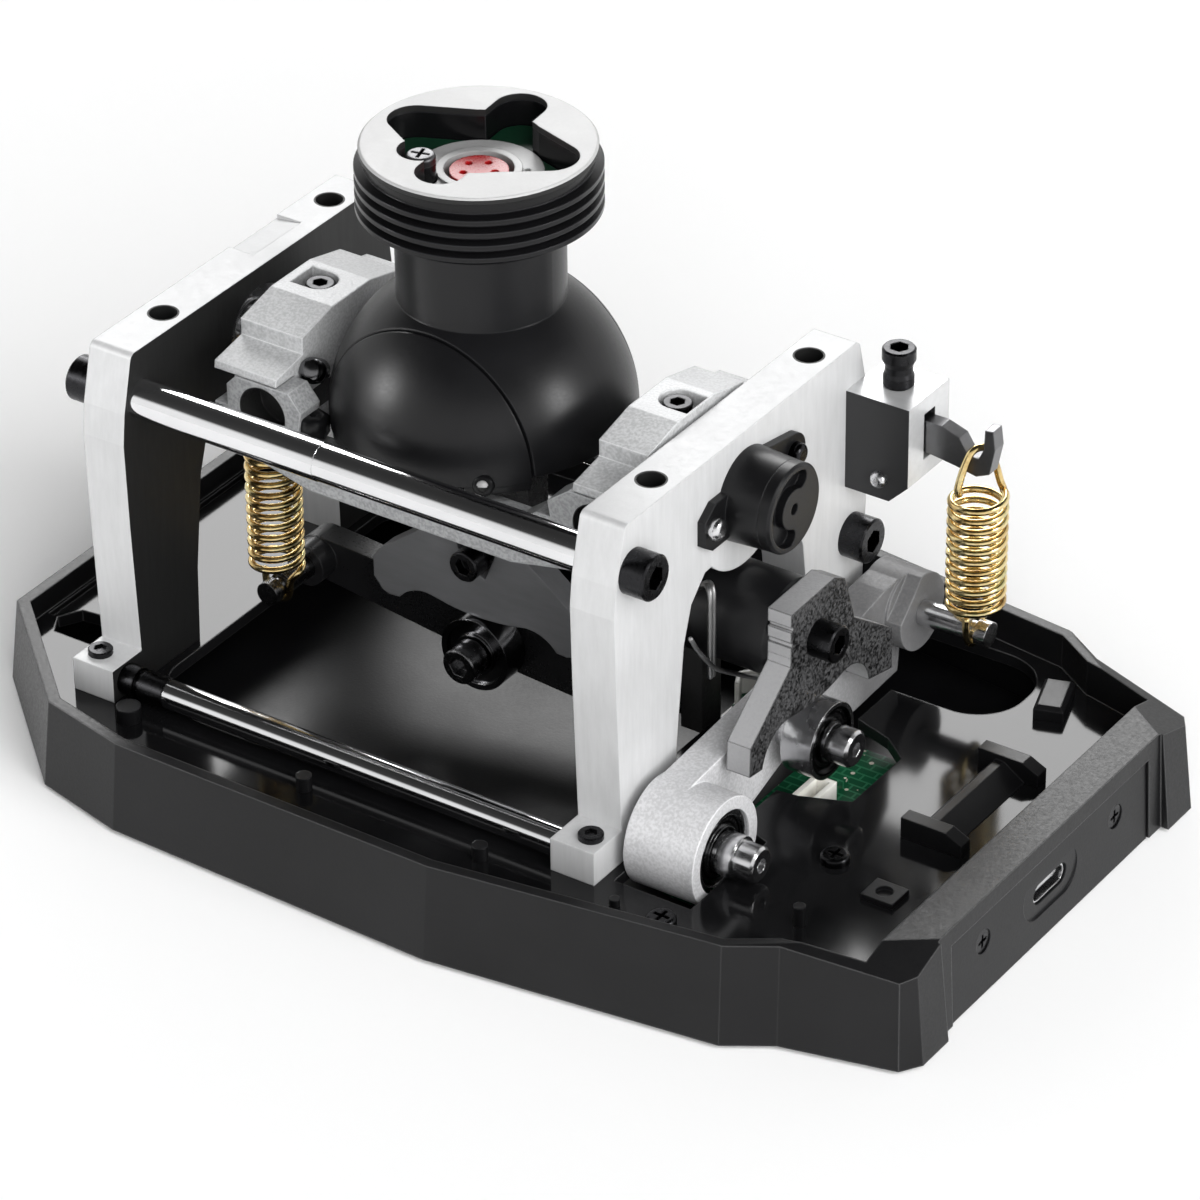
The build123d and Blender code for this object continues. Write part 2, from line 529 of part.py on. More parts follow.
def yoke_frame():
    """Gimbal frame: two cheeks joined by a front and a rear bar that carry the stick's bearings."""
    left, right = CHEEK_LEFT[0], CHEEK_RIGHT[1]
    frame = None
    for side in (-1, 1):
        y0, y1 = (BAR_Y[0], BAR_Y[1]) if side > 0 else (-BAR_Y[1], -BAR_Y[0])
        bar = plate_xz([(left, -1.0), (left, -7.0), (STICK_X - 18, -11.0), (STICK_X + 18, -11.0), (right, -7.0),
                        (right, -1.0), (24, -1.0), (20, -4.0), (-17, -4.0), (-20, -1.0)], y0, y1)
        bar = bar + rod_y(y0, y1, STICK_X, 0, 7.0)
        for outline, x, r in ARCHES:
            bar = bar + plate_xz(outline, y0, y1) - rod_y(y0 - 1, y1 + 1, x, -0.4, r)
        bar = bar - rod_y(y0 - 1, y1 + 1, STICK_X, 0, 5.0)
        frame = bar if frame is None else frame + bar
    for x0, x1 in (CHEEK_LEFT, CHEEK_RIGHT):
        cheek = block(x0, x1, -BAR_Y[0], BAR_Y[0], -7.0, 0)
        cheek = cheek - rod_x(x0 - 1, x1 + 1, 0, 0, AXLE_R)
        frame = frame + cheek
    frame = frame - block(CHEEK_LEFT[0] - 1, CHEEK_LEFT[0] + 6.6, -BAR_Y[0] + 1.4, -3.6, -8, -3.4)
    web = block(33.2, right, -6.5, 6.5, -27.0, -6.0)
    lug = block(33.6, 37.4, 3.6, 8.6, -47.0, -18.0)
    lug = lug + block(INNER_PIVOT[0] - 4.0, 37.4, 6.4, 8.6, -47.0, -38.5)
    frame = frame + web + lug
    return frame - rod_y(5, 10, INNER_PIVOT[0], INNER_PIVOT[1], 2.2)


def saddle_outline():
    half = [(0, 11.4), (-4.8, 11.4), (-12.4, 9.6), (-12.4, 6.9), (-19.0, 5.7), (-19.2, 4.5), (-14.5, 4.5),
            (-14.5, 0)]
    return half + [(-y, z) for y, z in reversed(half[1:])]


def saddle_screw_x(span, outward):
    """The clamp screw sits a little outside the middle of its saddle."""
    return (span[0] + span[1]) / 2 + outward * 0.6


def saddle_cap(span, outward):
    """Stepped clamp over an axle stub, with a D-shaped pocket for its clamp screw."""
    x0, x1 = span
    cap = plate_yz(saddle_outline(), x0, x1) - rod_x(x0 - 1, x1 + 1, 0, 0, AXLE_R)
    xm, y = saddle_screw_x(span, outward), SADDLE_SCREW_Y
    far = xm + outward * 3.4
    pocket = rod_z(8.8, 14, xm, y, 2.8) + block(min(xm, far), max(xm, far), y - 2.8, y + 2.8, 8.8, 14)
    return cap - pocket - rod_z(AXLE_R, 12, xm, y, 1.25)


def saddle_screws():
    screws = []
    for span, outward in ((CHEEK_LEFT, -1), (CHEEK_RIGHT, 1)):
        spot = Pos(saddle_screw_x(span, outward), SADDLE_SCREW_Y, 8.8)
        screws.append(spot * socket_head(2.2, 2.2, 1.25, 8.8 - AXLE_R - 0.2))
    return screws


def axle_stub(side):
    """Stub that carries one cheek in its plate bearing; the right one ends under the sensor."""
    if side > 0:
        return rod_x(CHEEK_RIGHT[0], 50.4, 0, 0, AXLE_R) + rod_x(48.6, 50.4, 0, 0, 3.6)
    stub = rod_x(-46.0, CHEEK_LEFT[1], 0, 0, AXLE_R)
    return stub + rod_x(-PLATE_IN + 0.4, CHEEK_LEFT[0], 0, 0, 4.6)


def dome_cap(side):
    """Fixed end cap of the ball cover, cut flat at the gimbal plane."""
    ball = Sphere(DOME_R) - Sphere(DOME_R - DOME_WALL)
    cap = ball & block(-30, 30, -30, -CAP_START, -0.6, 30)
    lip = (Cylinder(DOME_R - 0.1, 1.4) - Cylinder(DOME_R - 2.4, 1.4))
    lip = Pos(0, 0, -0.9) * lip & block(-30, 30, -30, -CAP_START, -5, 5)
    cap = cap + (lip - block(-10.5, 10.5, -30, 0, -5, -0.6))
    cap = Pos(STICK_X, 0, 0) * cap
    return cap if side < 0 else mirror(cap, about=Plane.XZ)


def stick_bearings():
    rings = []
    for y0 in (BAR_Y[0], -BAR_Y[1]):
        y1 = y0 + BAR_Y[1] - BAR_Y[0]
        rings.append(rod_y(y0, y1, STICK_X, 0, 5.0) - rod_y(y0, y1, STICK_X, 0, AXLE_R + RUN_GAP))
    return Compound(children=rings)


def cam_carrier():
    """Black boss that reaches out through the right plate's window to the outer cam."""
    x0 = CHEEK_RIGHT[1]
    body = rod_x(x0, OUTER_CAM_X[0], 0, CARRIER_Z, CARRIER_R)
    body = chamfer(body.edges().group_by(Axis.X)[-1], 0.6)
    return body - rod_x(OUTER_CAM_X[0] - 8, OUTER_CAM_X[0], 0, CARRIER_Z, 1.65)


def roller_path_yz(radius_z, x0, x1):
    """Room swept by a roller as a cam turns over its whole travel."""
    arc = CenterArc((0, 0), -radius_z, -90 - TILT, 2 * TILT)
    return Pos(x0, 0, 0) * extrude(Plane.YZ * SlotArc(arc, 2 * (ROLLER_R + ROLLER_GAP)), x1 - x0)


def outer_cam():
    """Cast cam plate: stepped pad, a claw at each side and the roller's valley between."""
    outline = [(-6.2, -12.8), (4.6, -12.5), (7.3, -14.0), (8.7, -17.7), (10.1, -22.2), (20.7, -29.7), (20.9, -36.8),
               (15.5, -35.6), (0, -32.4), (-13.2, -35.2), (-17.8, -34.6), (-17.6, -29.8), (-7.1, -21.6)]
    cam = plate_yz(outline, *OUTER_CAM_X)
    cam = cam - roller_path_yz(OUTER_ROLLER_Z, OUTER_CAM_X[0] - 1, OUTER_CAM_X[1] + 1)
    for z0, z1 in ((-15.0, -12.8), (-17.6, -15.8), (-20.2, -18.4)):
        cam = cam + block(OUTER_CAM_X[0], OUTER_CAM_X[1], -7.0, -5.6, z0, z1)
    return cam - rod_x(OUTER_CAM_X[0] - 1, OUTER_CAM_X[1] + 1, 0, CARRIER_Z, 2.1)


def outer_cam_screw():
    return Pos(OUTER_CAM_X[1], 0, CARRIER_Z) * Rot(0, 90, 0) * socket_head(2.9, 3.8, 1.65, 11)


def inner_pivot_pin():
    """Pin in the frame's lug, with a head in front of the inner follower arm."""
    x, z = INNER_PIVOT
    pin = rod_y(-6.0, 8.6, x, z, 2.2)
    return pin + rod_y(-7.2, -6.0, x, z, 3.2)


def inner_hook():
    """Hook under the left cheek that the inner spring hangs from."""
    x, y = INNER_PIN[0], INNER_SPRING_Y
    bracket = rod_y(y - 2.0, y + 2.0, x, INNER_HOOK_Z, INNER_HOOK_R)
    for y0 in (y - 3.0, y + 1.6):
        bracket += block(x - 1.6, x + 1.6, y0, y0 + 1.4, INNER_HOOK_Z, -3.4) + rod_y(y0, y0 + 1.4, x, INNER_HOOK_Z, 1.6)
    return bracket


# ---------------------------------------------------------------- stick
def stick_column():
    """Moving band of the ball cover with the neck above it and the axle hub inside."""
    ball = Sphere(DOME_R) - Sphere(DOME_R - DOME_WALL)
    band = ball & block(-30, 30, -BAND_HALF, BAND_HALF, 0.4, 30)
    neck = rod_z(17.0, COLLAR_LOW, 0, 0, NECK_R) & (Sphere(60) - Sphere(DOME_R - DOME_WALL))
    column = band + neck - rod_z(14, COLLAR_LOW + 2, 0, 0, 9.5)
    post = (rod_z(-6, 21.6, -7.5, 0, 2.6) + rod_z(-6, 21.6, 7.5, 0, 2.6)) & Sphere(DOME_R - DOME_WALL + 0.3)
    spider = block(-11, 11, -2.6, 2.6, 16.0, 21.5) & Sphere(DOME_R - DOME_WALL + 0.3)
    hub = rod_y(-13.4, 13.4, 0, 0, 6.0) + block(-10.1, 10.1, -4, 4, -6, 3)
    column = column + post + spider + hub - rod_z(15, 40, 0, 0, 4.0)
    return Pos(STICK_X, 0, 0) * (column - rod_y(-14, 14, 0, 0, AXLE_R))


def lobe(angle, reach, r, grow, flared):
    """One lobe of the keyed opening, straight sided or flaring out of the round well."""
    tip = Pos(reach, 0) * Circle(r + grow)
    if flared:
        return Rot(0, 0, angle) * make_hull((Sketch() + [Circle(9.4 + grow), tip]).edges())
    return Rot(0, 0, angle) * (tip + Pos(reach / 2, 0) * Rectangle(reach, 2 * (r + grow)))


def key_shape(grow):
    """Keyed opening of the collar: a round well with four wide lobes and a place for the screw."""
    shape = Circle(9.6 + grow)
    for angle, reach, r, flared in ((177, 11.4, 4.2, True), (95, 12.1, 3.9, False), (9, 11.2, 4.4, True),
                                    (-86, 10.5, 3.7, False)):
        shape = shape + lobe(angle, reach, r, grow, flared)
    return shape + Pos(*COLLAR_SCREW) * Circle(3.4 + grow)


def thread_collar():
    """M36 x 2 grip collar: thread ridges, a keyed well with a floor, a bore for the lead."""
    root = THREAD_R - 1.2
    top = COLLAR_TOP - 1.0
    profile = [(0, COLLAR_LOW), (root - 0.6, COLLAR_LOW)]
    z = COLLAR_LOW + 0.7
    while z + THREAD_PITCH < top + 0.3:
        profile += [(root, z), (THREAD_R, z + 0.55), (THREAD_R, z + 1.25), (root, z + 1.8)]
        z += THREAD_PITCH
    profile += [(root, top), (0, top)]
    body = revolve(Plane.XZ * face(profile), Axis.Z)
    well = Pos(0, 0, RECESS_FLOOR) * extrude(key_shape(0), 10)
    body = body - well - rod_z(30, 40, 0, 0, 8.0)
    body = body + rod_z(RECESS_FLOOR - 1, SCREW_SEAT, *COLLAR_SCREW, 2.2)
    return Pos(STICK_X, 0, 0) * body


def collar_plate():
    plate = rod_z(COLLAR_TOP - 1.0, COLLAR_TOP, 0, 0, THREAD_R - 0.7)
    plate = chamfer(plate.edges().group_by(Axis.Z)[-1], 0.3)
    opening = Pos(0, 0, COLLAR_TOP - 2) * extrude(key_shape(0), 4)
    return Pos(STICK_X, 0, 0) * (plate - opening)


def connector_ring():
    ring = rod_z(RECESS_FLOOR - 2.6, RECESS_FLOOR + 0.5, 0, 0, 7.9)
    ring = ring + rod_z(RECESS_FLOOR, RECESS_FLOOR + 0.8, 0, 0, 9.4)
    ring = ring + rod_z(RECESS_FLOOR, RECESS_FLOOR + 1.3, 0, 0, 6.3)
    slot = extrude(SlotArc(CenterArc((0, 0), 7.0, -40, 75), 0.8), 3)
    ring = ring - rod_z(RECESS_FLOOR - 3, RECESS_FLOOR + 2, 0, 0, 5.1) - Pos(0, 0, RECESS_FLOOR + 0.3) * slot
    return Pos(STICK_X, 0, 0) * (ring - rod_z(30, 45, *COLLAR_SCREW, 2.4))


def connector_core():
    core = rod_z(RECESS_FLOOR - 2.6, RECESS_FLOOR + 1.0, 0, 0, 4.3) + rod_z(RECESS_FLOOR - 2.6, RECESS_FLOOR - 1.6, 0, 0, 5.1)
    for i in range(5):
        angle = radians(72 * i + 18)
        core = core - rod_z(RECESS_FLOOR + 0.2, RECESS_FLOOR + 2, 2.4 * cos(angle), 2.4 * sin(angle), 0.55)
    return Pos(STICK_X, 0, 0) * core


def collar_board():
    board = Pos(0, 0, RECESS_FLOOR) * extrude(key_shape(-0.2) - Circle(9.45), 0.5)
    return Pos(STICK_X, 0, 0) * (board - rod_z(30, 45, *COLLAR_SCREW, 2.5))


def collar_screw():
    x, y = COLLAR_SCREW
    head = rod_z(SCREW_SEAT, SCREW_SEAT + 1.4, x, y, 2.2)
    head = fillet(head.edges().group_by(Axis.Z)[-1], 0.6)
    for angle in (15, -75):
        head = head - Pos(x, y, SCREW_SEAT + 1.4) * Rot(0, 0, angle) * Box(2.8, 0.5, 1.2)
    return Pos(STICK_X, 0, 0) * head


def stick_axle():
    return rod_y(-BAR_Y[1] - 0.2, BAR_Y[1] + 0.2, STICK_X, 0, AXLE_R)


def cam_hanger():
    """Bar that hangs the inner cam from the stick's hub."""
    y0, y1 = INNER_CAM_Y[1], INNER_CAM_Y[1] + 5.0
    bar = [(-7.0, -6.0), (7.0, -6.0), (7.0, -24.0), (3.0, -31.0), (-3.0, -31.0), (-7.0, -24.0)]
    bar = [(x + STICK_X, z) for x, z in bar]
    hanger = plate_xz(bar, y0, y1)
    return hanger - rod_y(y0 - 1, y1 + 1, STICK_X, -25.0, 1.65) - rod_y(-14, 14, STICK_X, 0, 6.0)


def inner_cam():
    """Grey cam plate below the dome: sloping shoulders, a top notch and the roller's valley."""
    half = [(0, -27.6), (-1.6, -28.4), (-3.6, -23.4), (-9.0, -22.6), (-18.0, -29.6), (-19.0, -31.2), (-19.0, -34.6),
            (-17.4, -36.6), (-16.2, -37.0), (0, -36.0)]
    outline = half + [(-x, z) for x, z in reversed(half[1:-1])]
    cam = plate_xz([(x + STICK_X, z) for x, z in outline], *INNER_CAM_Y)
    arc = CenterArc((STICK_X, 0), -INNER_ROLLER_Z, -90 - TILT, 2 * TILT)
    path = extrude(Plane.XZ * SlotArc(arc, 2 * (ROLLER_R + ROLLER_GAP)), 20)
    return cam - Pos(0, 10, 0) * path - rod_y(-9, 9, STICK_X, -25.0, 1.7)


def inner_cam_screw():
    return Pos(STICK_X, INNER_CAM_Y[0], -25.0) * Rot(90, 0, 0) * socket_head(2.5, 3.4, 1.65, 7)


# ---------------------------------------------------------------- outer follower arm
ARM_X = (49.2, 54.4)
BOSS_X = (48.8, 60.6)
CLAW_SWEEP_R = 42.9                     # the outer cam's claws turn inside this radius


def outer_arm():
    py, pz = ARM_PIVOT
    ny, nz = ARM_PIN
    front = hull_yz([(py, pz, 8.5), (0, OUTER_ROLLER_Z, 5.2)], *ARM_X)
    rear = plate_yz([(-3, -42.4), (0, -32.4), (17.0, -30.2), (27.0, -28.4), (33.0, -28.4), (31.0, -44.6),
                     (19.0, -45.2)], *ARM_X)
    pin_boss = rod_x(ARM_X[0], 57.4, ny, nz, 6.2) - rod_x(54.9, 61, 0, 0, CLAW_SWEEP_R)
    boss = rod_x(*BOSS_X, py, pz, 8.5) + pin_boss
    arm = front + rear + boss
    arm = arm - rod_x(48, 62, py, pz, 6.5) - rod_x(ARM_X[0] + 1, 59, ny, nz, 2.0)
    return arm - rod_x(ARM_X[0] + 1, 60, 0, OUTER_ROLLER_Z, 2.2)


def outer_arm_bearings():
    py, pz = ARM_PIVOT
    rings = []
    for x0, x1 in ((BOSS_X[0] + 0.2, BOSS_X[0] + 4.2), (BOSS_X[1] - 4.4, BOSS_X[1] - 0.4)):
        ring = rod_x(x0, x1, py, pz, 6.5) - rod_x(x0, x1, py, pz, 2.4 + RUN_GAP)
        groove = rod_x(x1 - 0.5, x1, py, pz, 5.5) - rod_x(x1 - 0.5, x1, py, pz, 3.8)
        rings.append(ring - groove)
    return Compound(children=rings)


def arm_pivot_shaft():
    """Shoulder screw from the right plate through the follower arm's bearings."""
    py, pz = ARM_PIVOT
    shaft = rod_x(PLATE_IN + 1.5, PLATE_OUT, py, pz, 2.2) + rod_x(PLATE_OUT, 66.8, py, pz, 2.4)
    shaft = shaft + rod_x(PLATE_OUT, BOSS_X[0] - 0.4, py, pz, 3.3) + rod_x(60.9, 63.4, py, pz, 3.3)
    shaft = shaft + rod_x(63.4, 66.8, py, pz, 2.8)
    shaft = chamfer(shaft.edges().group_by(Axis.X)[-1], 0.4)
    return shaft - rod_x(65.8, 67, py, pz, 1.1)


def outer_roller_axle():
    axle = rod_x(ARM_X[0] + 1, 66.4, 0, OUTER_ROLLER_Z, 2.2) + rod_x(ARM_X[1], 56.8, 0, OUTER_ROLLER_Z, 3.2)
    axle = axle + rod_x(62.5, 66.4, 0, OUTER_ROLLER_Z, 2.9)
    axle = chamfer(axle.edges().group_by(Axis.X)[-1], 0.4)
    return axle - Pos(65.2, 0, OUTER_ROLLER_Z) * Rot(0, 90, 0) * extrude(RegularPolygon(1.2, 6), 2)


def outer_spring_pin():
    ny, nz = ARM_PIN
    pin = rod_x(ARM_X[0] + 1, 69.2, ny, nz, 2.0)
    groove = rod_x(65.6, 67.2, ny, nz, 3.0) - rod_x(65.6, 67.2, ny, nz, 1.4)
    return pin - groove


def outer_roller():
    x0, x1 = 57.1, 62.2
    ring = rod_x(x0, x1, 0, OUTER_ROLLER_Z, ROLLER_R) - rod_x(x0, x1, 0, OUTER_ROLLER_Z, 2.2 + RUN_GAP)
    groove = rod_x(x1 - 0.5, x1, 0, OUTER_ROLLER_Z, 5.0) - rod_x(x1 - 0.5, x1, 0, OUTER_ROLLER_Z, 3.4)
    return ring - groove


# ---------------------------------------------------------------- inner follower arm
INNER_ARM_Y = (1.8, 6.0)


def inner_arm():
    px, pz = INNER_PIVOT
    nx, nz = INNER_PIN
    y0, y1 = INNER_ARM_Y
    arm = hull_xz([(px, pz, 5.2), (STICK_X, INNER_ROLLER_Z, 4.6)], y0, y1)
    arm = arm + hull_xz([(STICK_X, INNER_ROLLER_Z, 4.6), (nx, nz, 3.6)], y0, y1)
    arm = arm + rod_y(-5.6, y1, px, pz, 5.2) + rod_y(-1.7, y0, nx, nz, 3.4)
    arm = arm - rod_y(-8, 8, px, pz, 2.2 + RUN_GAP) - rod_y(-3, 5, nx, nz, 1.9)
    return arm - rod_y(y0 - 1, y1 + 1, STICK_X, INNER_ROLLER_Z, 2.0)


def inner_spring_pin():
    nx, nz = INNER_PIN
    pin = rod_y(-11.4, 5.0, nx, nz, 1.9)
    y0, y1 = INNER_SPRING_Y - 0.8, INNER_SPRING_Y + 0.8
    return pin - (rod_y(y0, y1, nx, nz, 3.0) - rod_y(y0, y1, nx, nz, 1.3))


def inner_roller_bolt():
    y0, y1 = INNER_ARM_Y
    bolt = Pos(STICK_X, -4.4, INNER_ROLLER_Z) * Rot(90, 0, 0) * socket_head(2.9, 3.8, 2.0, 4.4 + y1)
    return bolt + rod_y(1.2, y0, STICK_X, INNER_ROLLER_Z, 3.0)


def inner_roller():
    y0, y1 = -4.0, 0.8
    ring = rod_y(y0, y1, STICK_X, INNER_ROLLER_Z, ROLLER_R) - rod_y(y0, y1, STICK_X, INNER_ROLLER_Z, 2.0 + RUN_GAP)
    groove = rod_y(y0, y0 + 0.5, STICK_X, INNER_ROLLER_Z, 5.0) - rod_y(y0, y0 + 0.5, STICK_X, INNER_ROLLER_Z, 3.4)
    return ring - groove


# ---------------------------------------------------------------- screws that share a node
def case_screws():
    return Compound(children=deck_screws() + end_panel_screws() + cover_screws())


def plate_screws():
    return Compound(children=foot_screws() + tie_rod_screws() + [anchor_screw()])


def yoke_screws():
    return Compound(children=saddle_screws() + [outer_cam_screw()])


# ---------------------------------------------------------------- build
PARTS = {
    "base_tray": base_tray(),
    "deck_posts": deck_posts(),
    "clip_bracket": clip_bracket(),
    "latch_block": latch_block(),
    "case_screws": case_screws(),
    "end_panel": end_panel(),
    "usb_inlet": usb_inlet(),
    "bottom_cover": bottom_cover(),
    "rubber_feet": rubber_feet(),
    "control_board": control_board(),
    "board_connector": board_connector(),
    "side_plate_left": side_plate(-1),
    "side_plate_right": side_plate(1),
    "tie_rods_upper": Compound(children=[tie_rod(*ROD_FRONT), tie_rod(*ROD_REAR)]),
    "tie_rods_lower": Compound(children=[low_tie_rod(-LOW_ROD[0]), low_tie_rod(LOW_ROD[0])]),
    "low_rod_sleeves": low_rod_sleeves(),
    "plate_screws": plate_screws(),
    "plate_bearings": Compound(children=[plate_bearing(-1), plate_bearing(1)]),
    "sensor_housing": sensor_housing(),
    "sensor_cap": sensor_cap(),
    "sensor_nuts": sensor_nuts(),
    "spring_anchor_block": spring_anchor_block(),
    "arm_pivot_shaft": arm_pivot_shaft(),
    "outer_hook": outer_hook(),
    "tension_screw": tension_screw(),
    "yoke_frame": yoke_frame(),
    "saddle_cap_left": saddle_cap(CHEEK_LEFT, -1),
    "saddle_cap_right": saddle_cap(CHEEK_RIGHT, 1),
    "yoke_screws": yoke_screws(),
    "axle_stub_left": axle_stub(-1),
    "axle_stub_right": axle_stub(1),
    "dome_cap_front": dome_cap(-1),
    "dome_cap_rear": dome_cap(1),
    "stick_bearings": stick_bearings(),
    "cam_carrier": cam_carrier(),
    "outer_cam": outer_cam(),
    "inner_pivot_pin": inner_pivot_pin(),
    "inner_hook": inner_hook(),
    "stick_column": stick_column(),
    "thread_collar": thread_collar(),
    "collar_plate": collar_plate(),
    "connector_ring": connector_ring(),
    "connector_core": connector_core(),
    "collar_board": collar_board(),
    "collar_screw": collar_screw(),
    "stick_axle": stick_axle(),
    "cam_hanger": cam_hanger(),
    "inner_cam": inner_cam(),
    "inner_cam_screw": inner_cam_screw(),
    "outer_arm": outer_arm(),
    "outer_arm_bearings": outer_arm_bearings(),
    "outer_roller_axle": outer_roller_axle(),
    "outer_spring_pin": outer_spring_pin(),
    "outer_roller": outer_roller(),
    "inner_arm": inner_arm(),
    "inner_roller_bolt": inner_roller_bolt(),
    "inner_spring_pin": inner_spring_pin(),
    "inner_roller": inner_roller(),
    "outer_spring": extension_spring(*OUTER_SPRING, True),
    "inner_spring": extension_spring(*INNER_SPRING, False),
}
for part_name, part_shape in PARTS.items():
    save(part_name, part_shape)
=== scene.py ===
import math

import bpy
from mathutils import Matrix, Vector


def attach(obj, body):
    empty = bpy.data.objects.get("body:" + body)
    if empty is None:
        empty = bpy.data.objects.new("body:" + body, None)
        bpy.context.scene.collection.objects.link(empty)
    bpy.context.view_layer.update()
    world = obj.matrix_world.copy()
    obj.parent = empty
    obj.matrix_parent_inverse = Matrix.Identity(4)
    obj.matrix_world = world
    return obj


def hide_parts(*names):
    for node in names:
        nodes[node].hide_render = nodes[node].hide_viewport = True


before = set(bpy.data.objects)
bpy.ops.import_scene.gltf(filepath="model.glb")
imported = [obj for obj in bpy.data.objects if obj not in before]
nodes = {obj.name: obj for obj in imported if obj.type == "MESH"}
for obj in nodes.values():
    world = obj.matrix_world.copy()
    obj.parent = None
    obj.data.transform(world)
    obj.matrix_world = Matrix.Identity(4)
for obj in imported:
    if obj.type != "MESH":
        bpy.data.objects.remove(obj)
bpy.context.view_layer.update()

MM = 1000                              # millimetres in a metre
GIMBAL_X, GIMBAL_Z = -17.1, 56.8       # the gimbal's centre in the frame, mm

# ------------------------------------------------------------------ camera, from the photograph
CAMERA_POSE = Matrix((
    (0.82890714, -0.29386468, 0.47597951, 0.42869341),
    (0.55931767, 0.44872098, -0.69700303, -0.62102305),
    (-0.00875742, 0.84397454, 0.53631174, 0.50761414),
    (0, 0, 0, 1)))
LENS_MM, SENSOR_MM = 181.258, 36
CLIP_NEAR, CLIP_FAR = 0.01, 20

cam_data = bpy.data.cameras.new("camera")
cam = bpy.data.objects.new("camera", cam_data)
bpy.context.scene.collection.objects.link(cam)
cam.matrix_world = CAMERA_POSE
cam_data.lens, cam_data.sensor_width = LENS_MM, SENSOR_MM
cam_data.clip_start, cam_data.clip_end = CLIP_NEAR, CLIP_FAR
bpy.context.scene.camera = cam

# ------------------------------------------------------------------ small kit
WIRE_SIDES = 14                        # faces round a spring's wire
THIN_WIRE_SIDES = 10
WIRE_END_ANGLES = (0.5, 1.0, 1.35)     # rings of a wire's rounded end, as angles from its full radius
LINE_STEPS = 8                         # points of a smooth line from one given point to the next


def at(x, y, z):
    """A point given from the centre of the gimbal in mm, in the frame's metres."""
    return Vector(((x + GIMBAL_X) / MM, y / MM, (z + GIMBAL_Z) / MM))


def add_mesh(name, verts, faces, material, body, smooth=True):
    mesh = bpy.data.meshes.new(name)
    mesh.from_pydata([tuple(v) for v in verts], [], faces)
    mesh.validate()
    mesh.update()
    if smooth:
        mesh.polygons.foreach_set("use_smooth", [True] * len(mesh.polygons))
    mesh.materials.append(material)
    ob = bpy.data.objects.new(name, mesh)
    bpy.context.scene.collection.objects.link(ob)
    if body:
        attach(ob, body)
    return ob


def round_turn(sides):
    """The cosine and sine of each angle round a ring."""
    return [(math.cos(2 * math.pi * k / sides), math.sin(2 * math.pi * k / sides)) for k in range(sides)]


def skin(rings, sides):
    """Faces between neighbouring rings of vertices, and one across each end."""
    faces = []
    for i in range(rings - 1):
        for k in range(sides):
            a, b = i * sides + k, i * sides + (k + 1) % sides
            faces.append((a, b, b + sides, a + sides))
    faces.append(tuple(range(sides))[::-1])
    faces.append(tuple(range((rings - 1) * sides, rings * sides)))
    return faces


def tube_mesh(points, radius, sides):
    """Vertices and faces of a round wire along a line of points, with rounded ends."""
    last = len(points) - 1
    tangents = [(points[min(i + 1, last)] - points[max(i - 1, 0)]).normalized() for i in range(last + 1)]
    side = tangents[0].orthogonal().normalized()
    rings = []
    for point, along in zip(points, tangents):
        side = (side - along * side.dot(along)).normalized()
        rings.append((point, side, along.cross(side), radius))
    ends = []
    for out, (point, u, v, r) in ((-tangents[0], rings[0]), (tangents[-1], rings[-1])):
        ends.append([(point + out * r * math.sin(a), u, v, r * math.cos(a)) for a in WIRE_END_ANGLES])
    rings = ends[0][::-1] + rings + ends[1]
    verts = [p + u * (r * c) + v * (r * s) for p, u, v, r in rings for c, s in round_turn(sides)]
    return verts, skin(len(rings), sides)


def smooth_line(points):
    """A Catmull-Rom line through the points."""
    out = []
    pts = [points[0] * 2 - points[1]] + points + [points[-1] * 2 - points[-2]]
    for i in range(1, len(pts) - 2):
        p0, p1, p2, p3 = pts[i - 1], pts[i], pts[i + 1], pts[i + 2]
        for k in range(LINE_STEPS):
            t = k / LINE_STEPS
            out.append(0.5 * ((2 * p1) + (p2 - p0) * t + (2 * p0 - 5 * p1 + 4 * p2 - p3) * t * t
                              + (3 * p1 - p0 - 3 * p2 + p3) * t ** 3))
    out.append(points[-1])
    return out


def set_stops(ramp, stops):
    """Gives a colour ramp its stops of (position, grey or colour)."""
    while len(ramp.elements) < len(stops):
        ramp.elements.new(0.5)
    for e, (pos, value) in zip(ramp.elements, stops):
        e.position = pos
        e.color = (*value, 1) if isinstance(value, tuple) else (value, value, value, 1)


def scaled(tone, factor):
    return tuple(min(c * factor, 1) for c in tone)


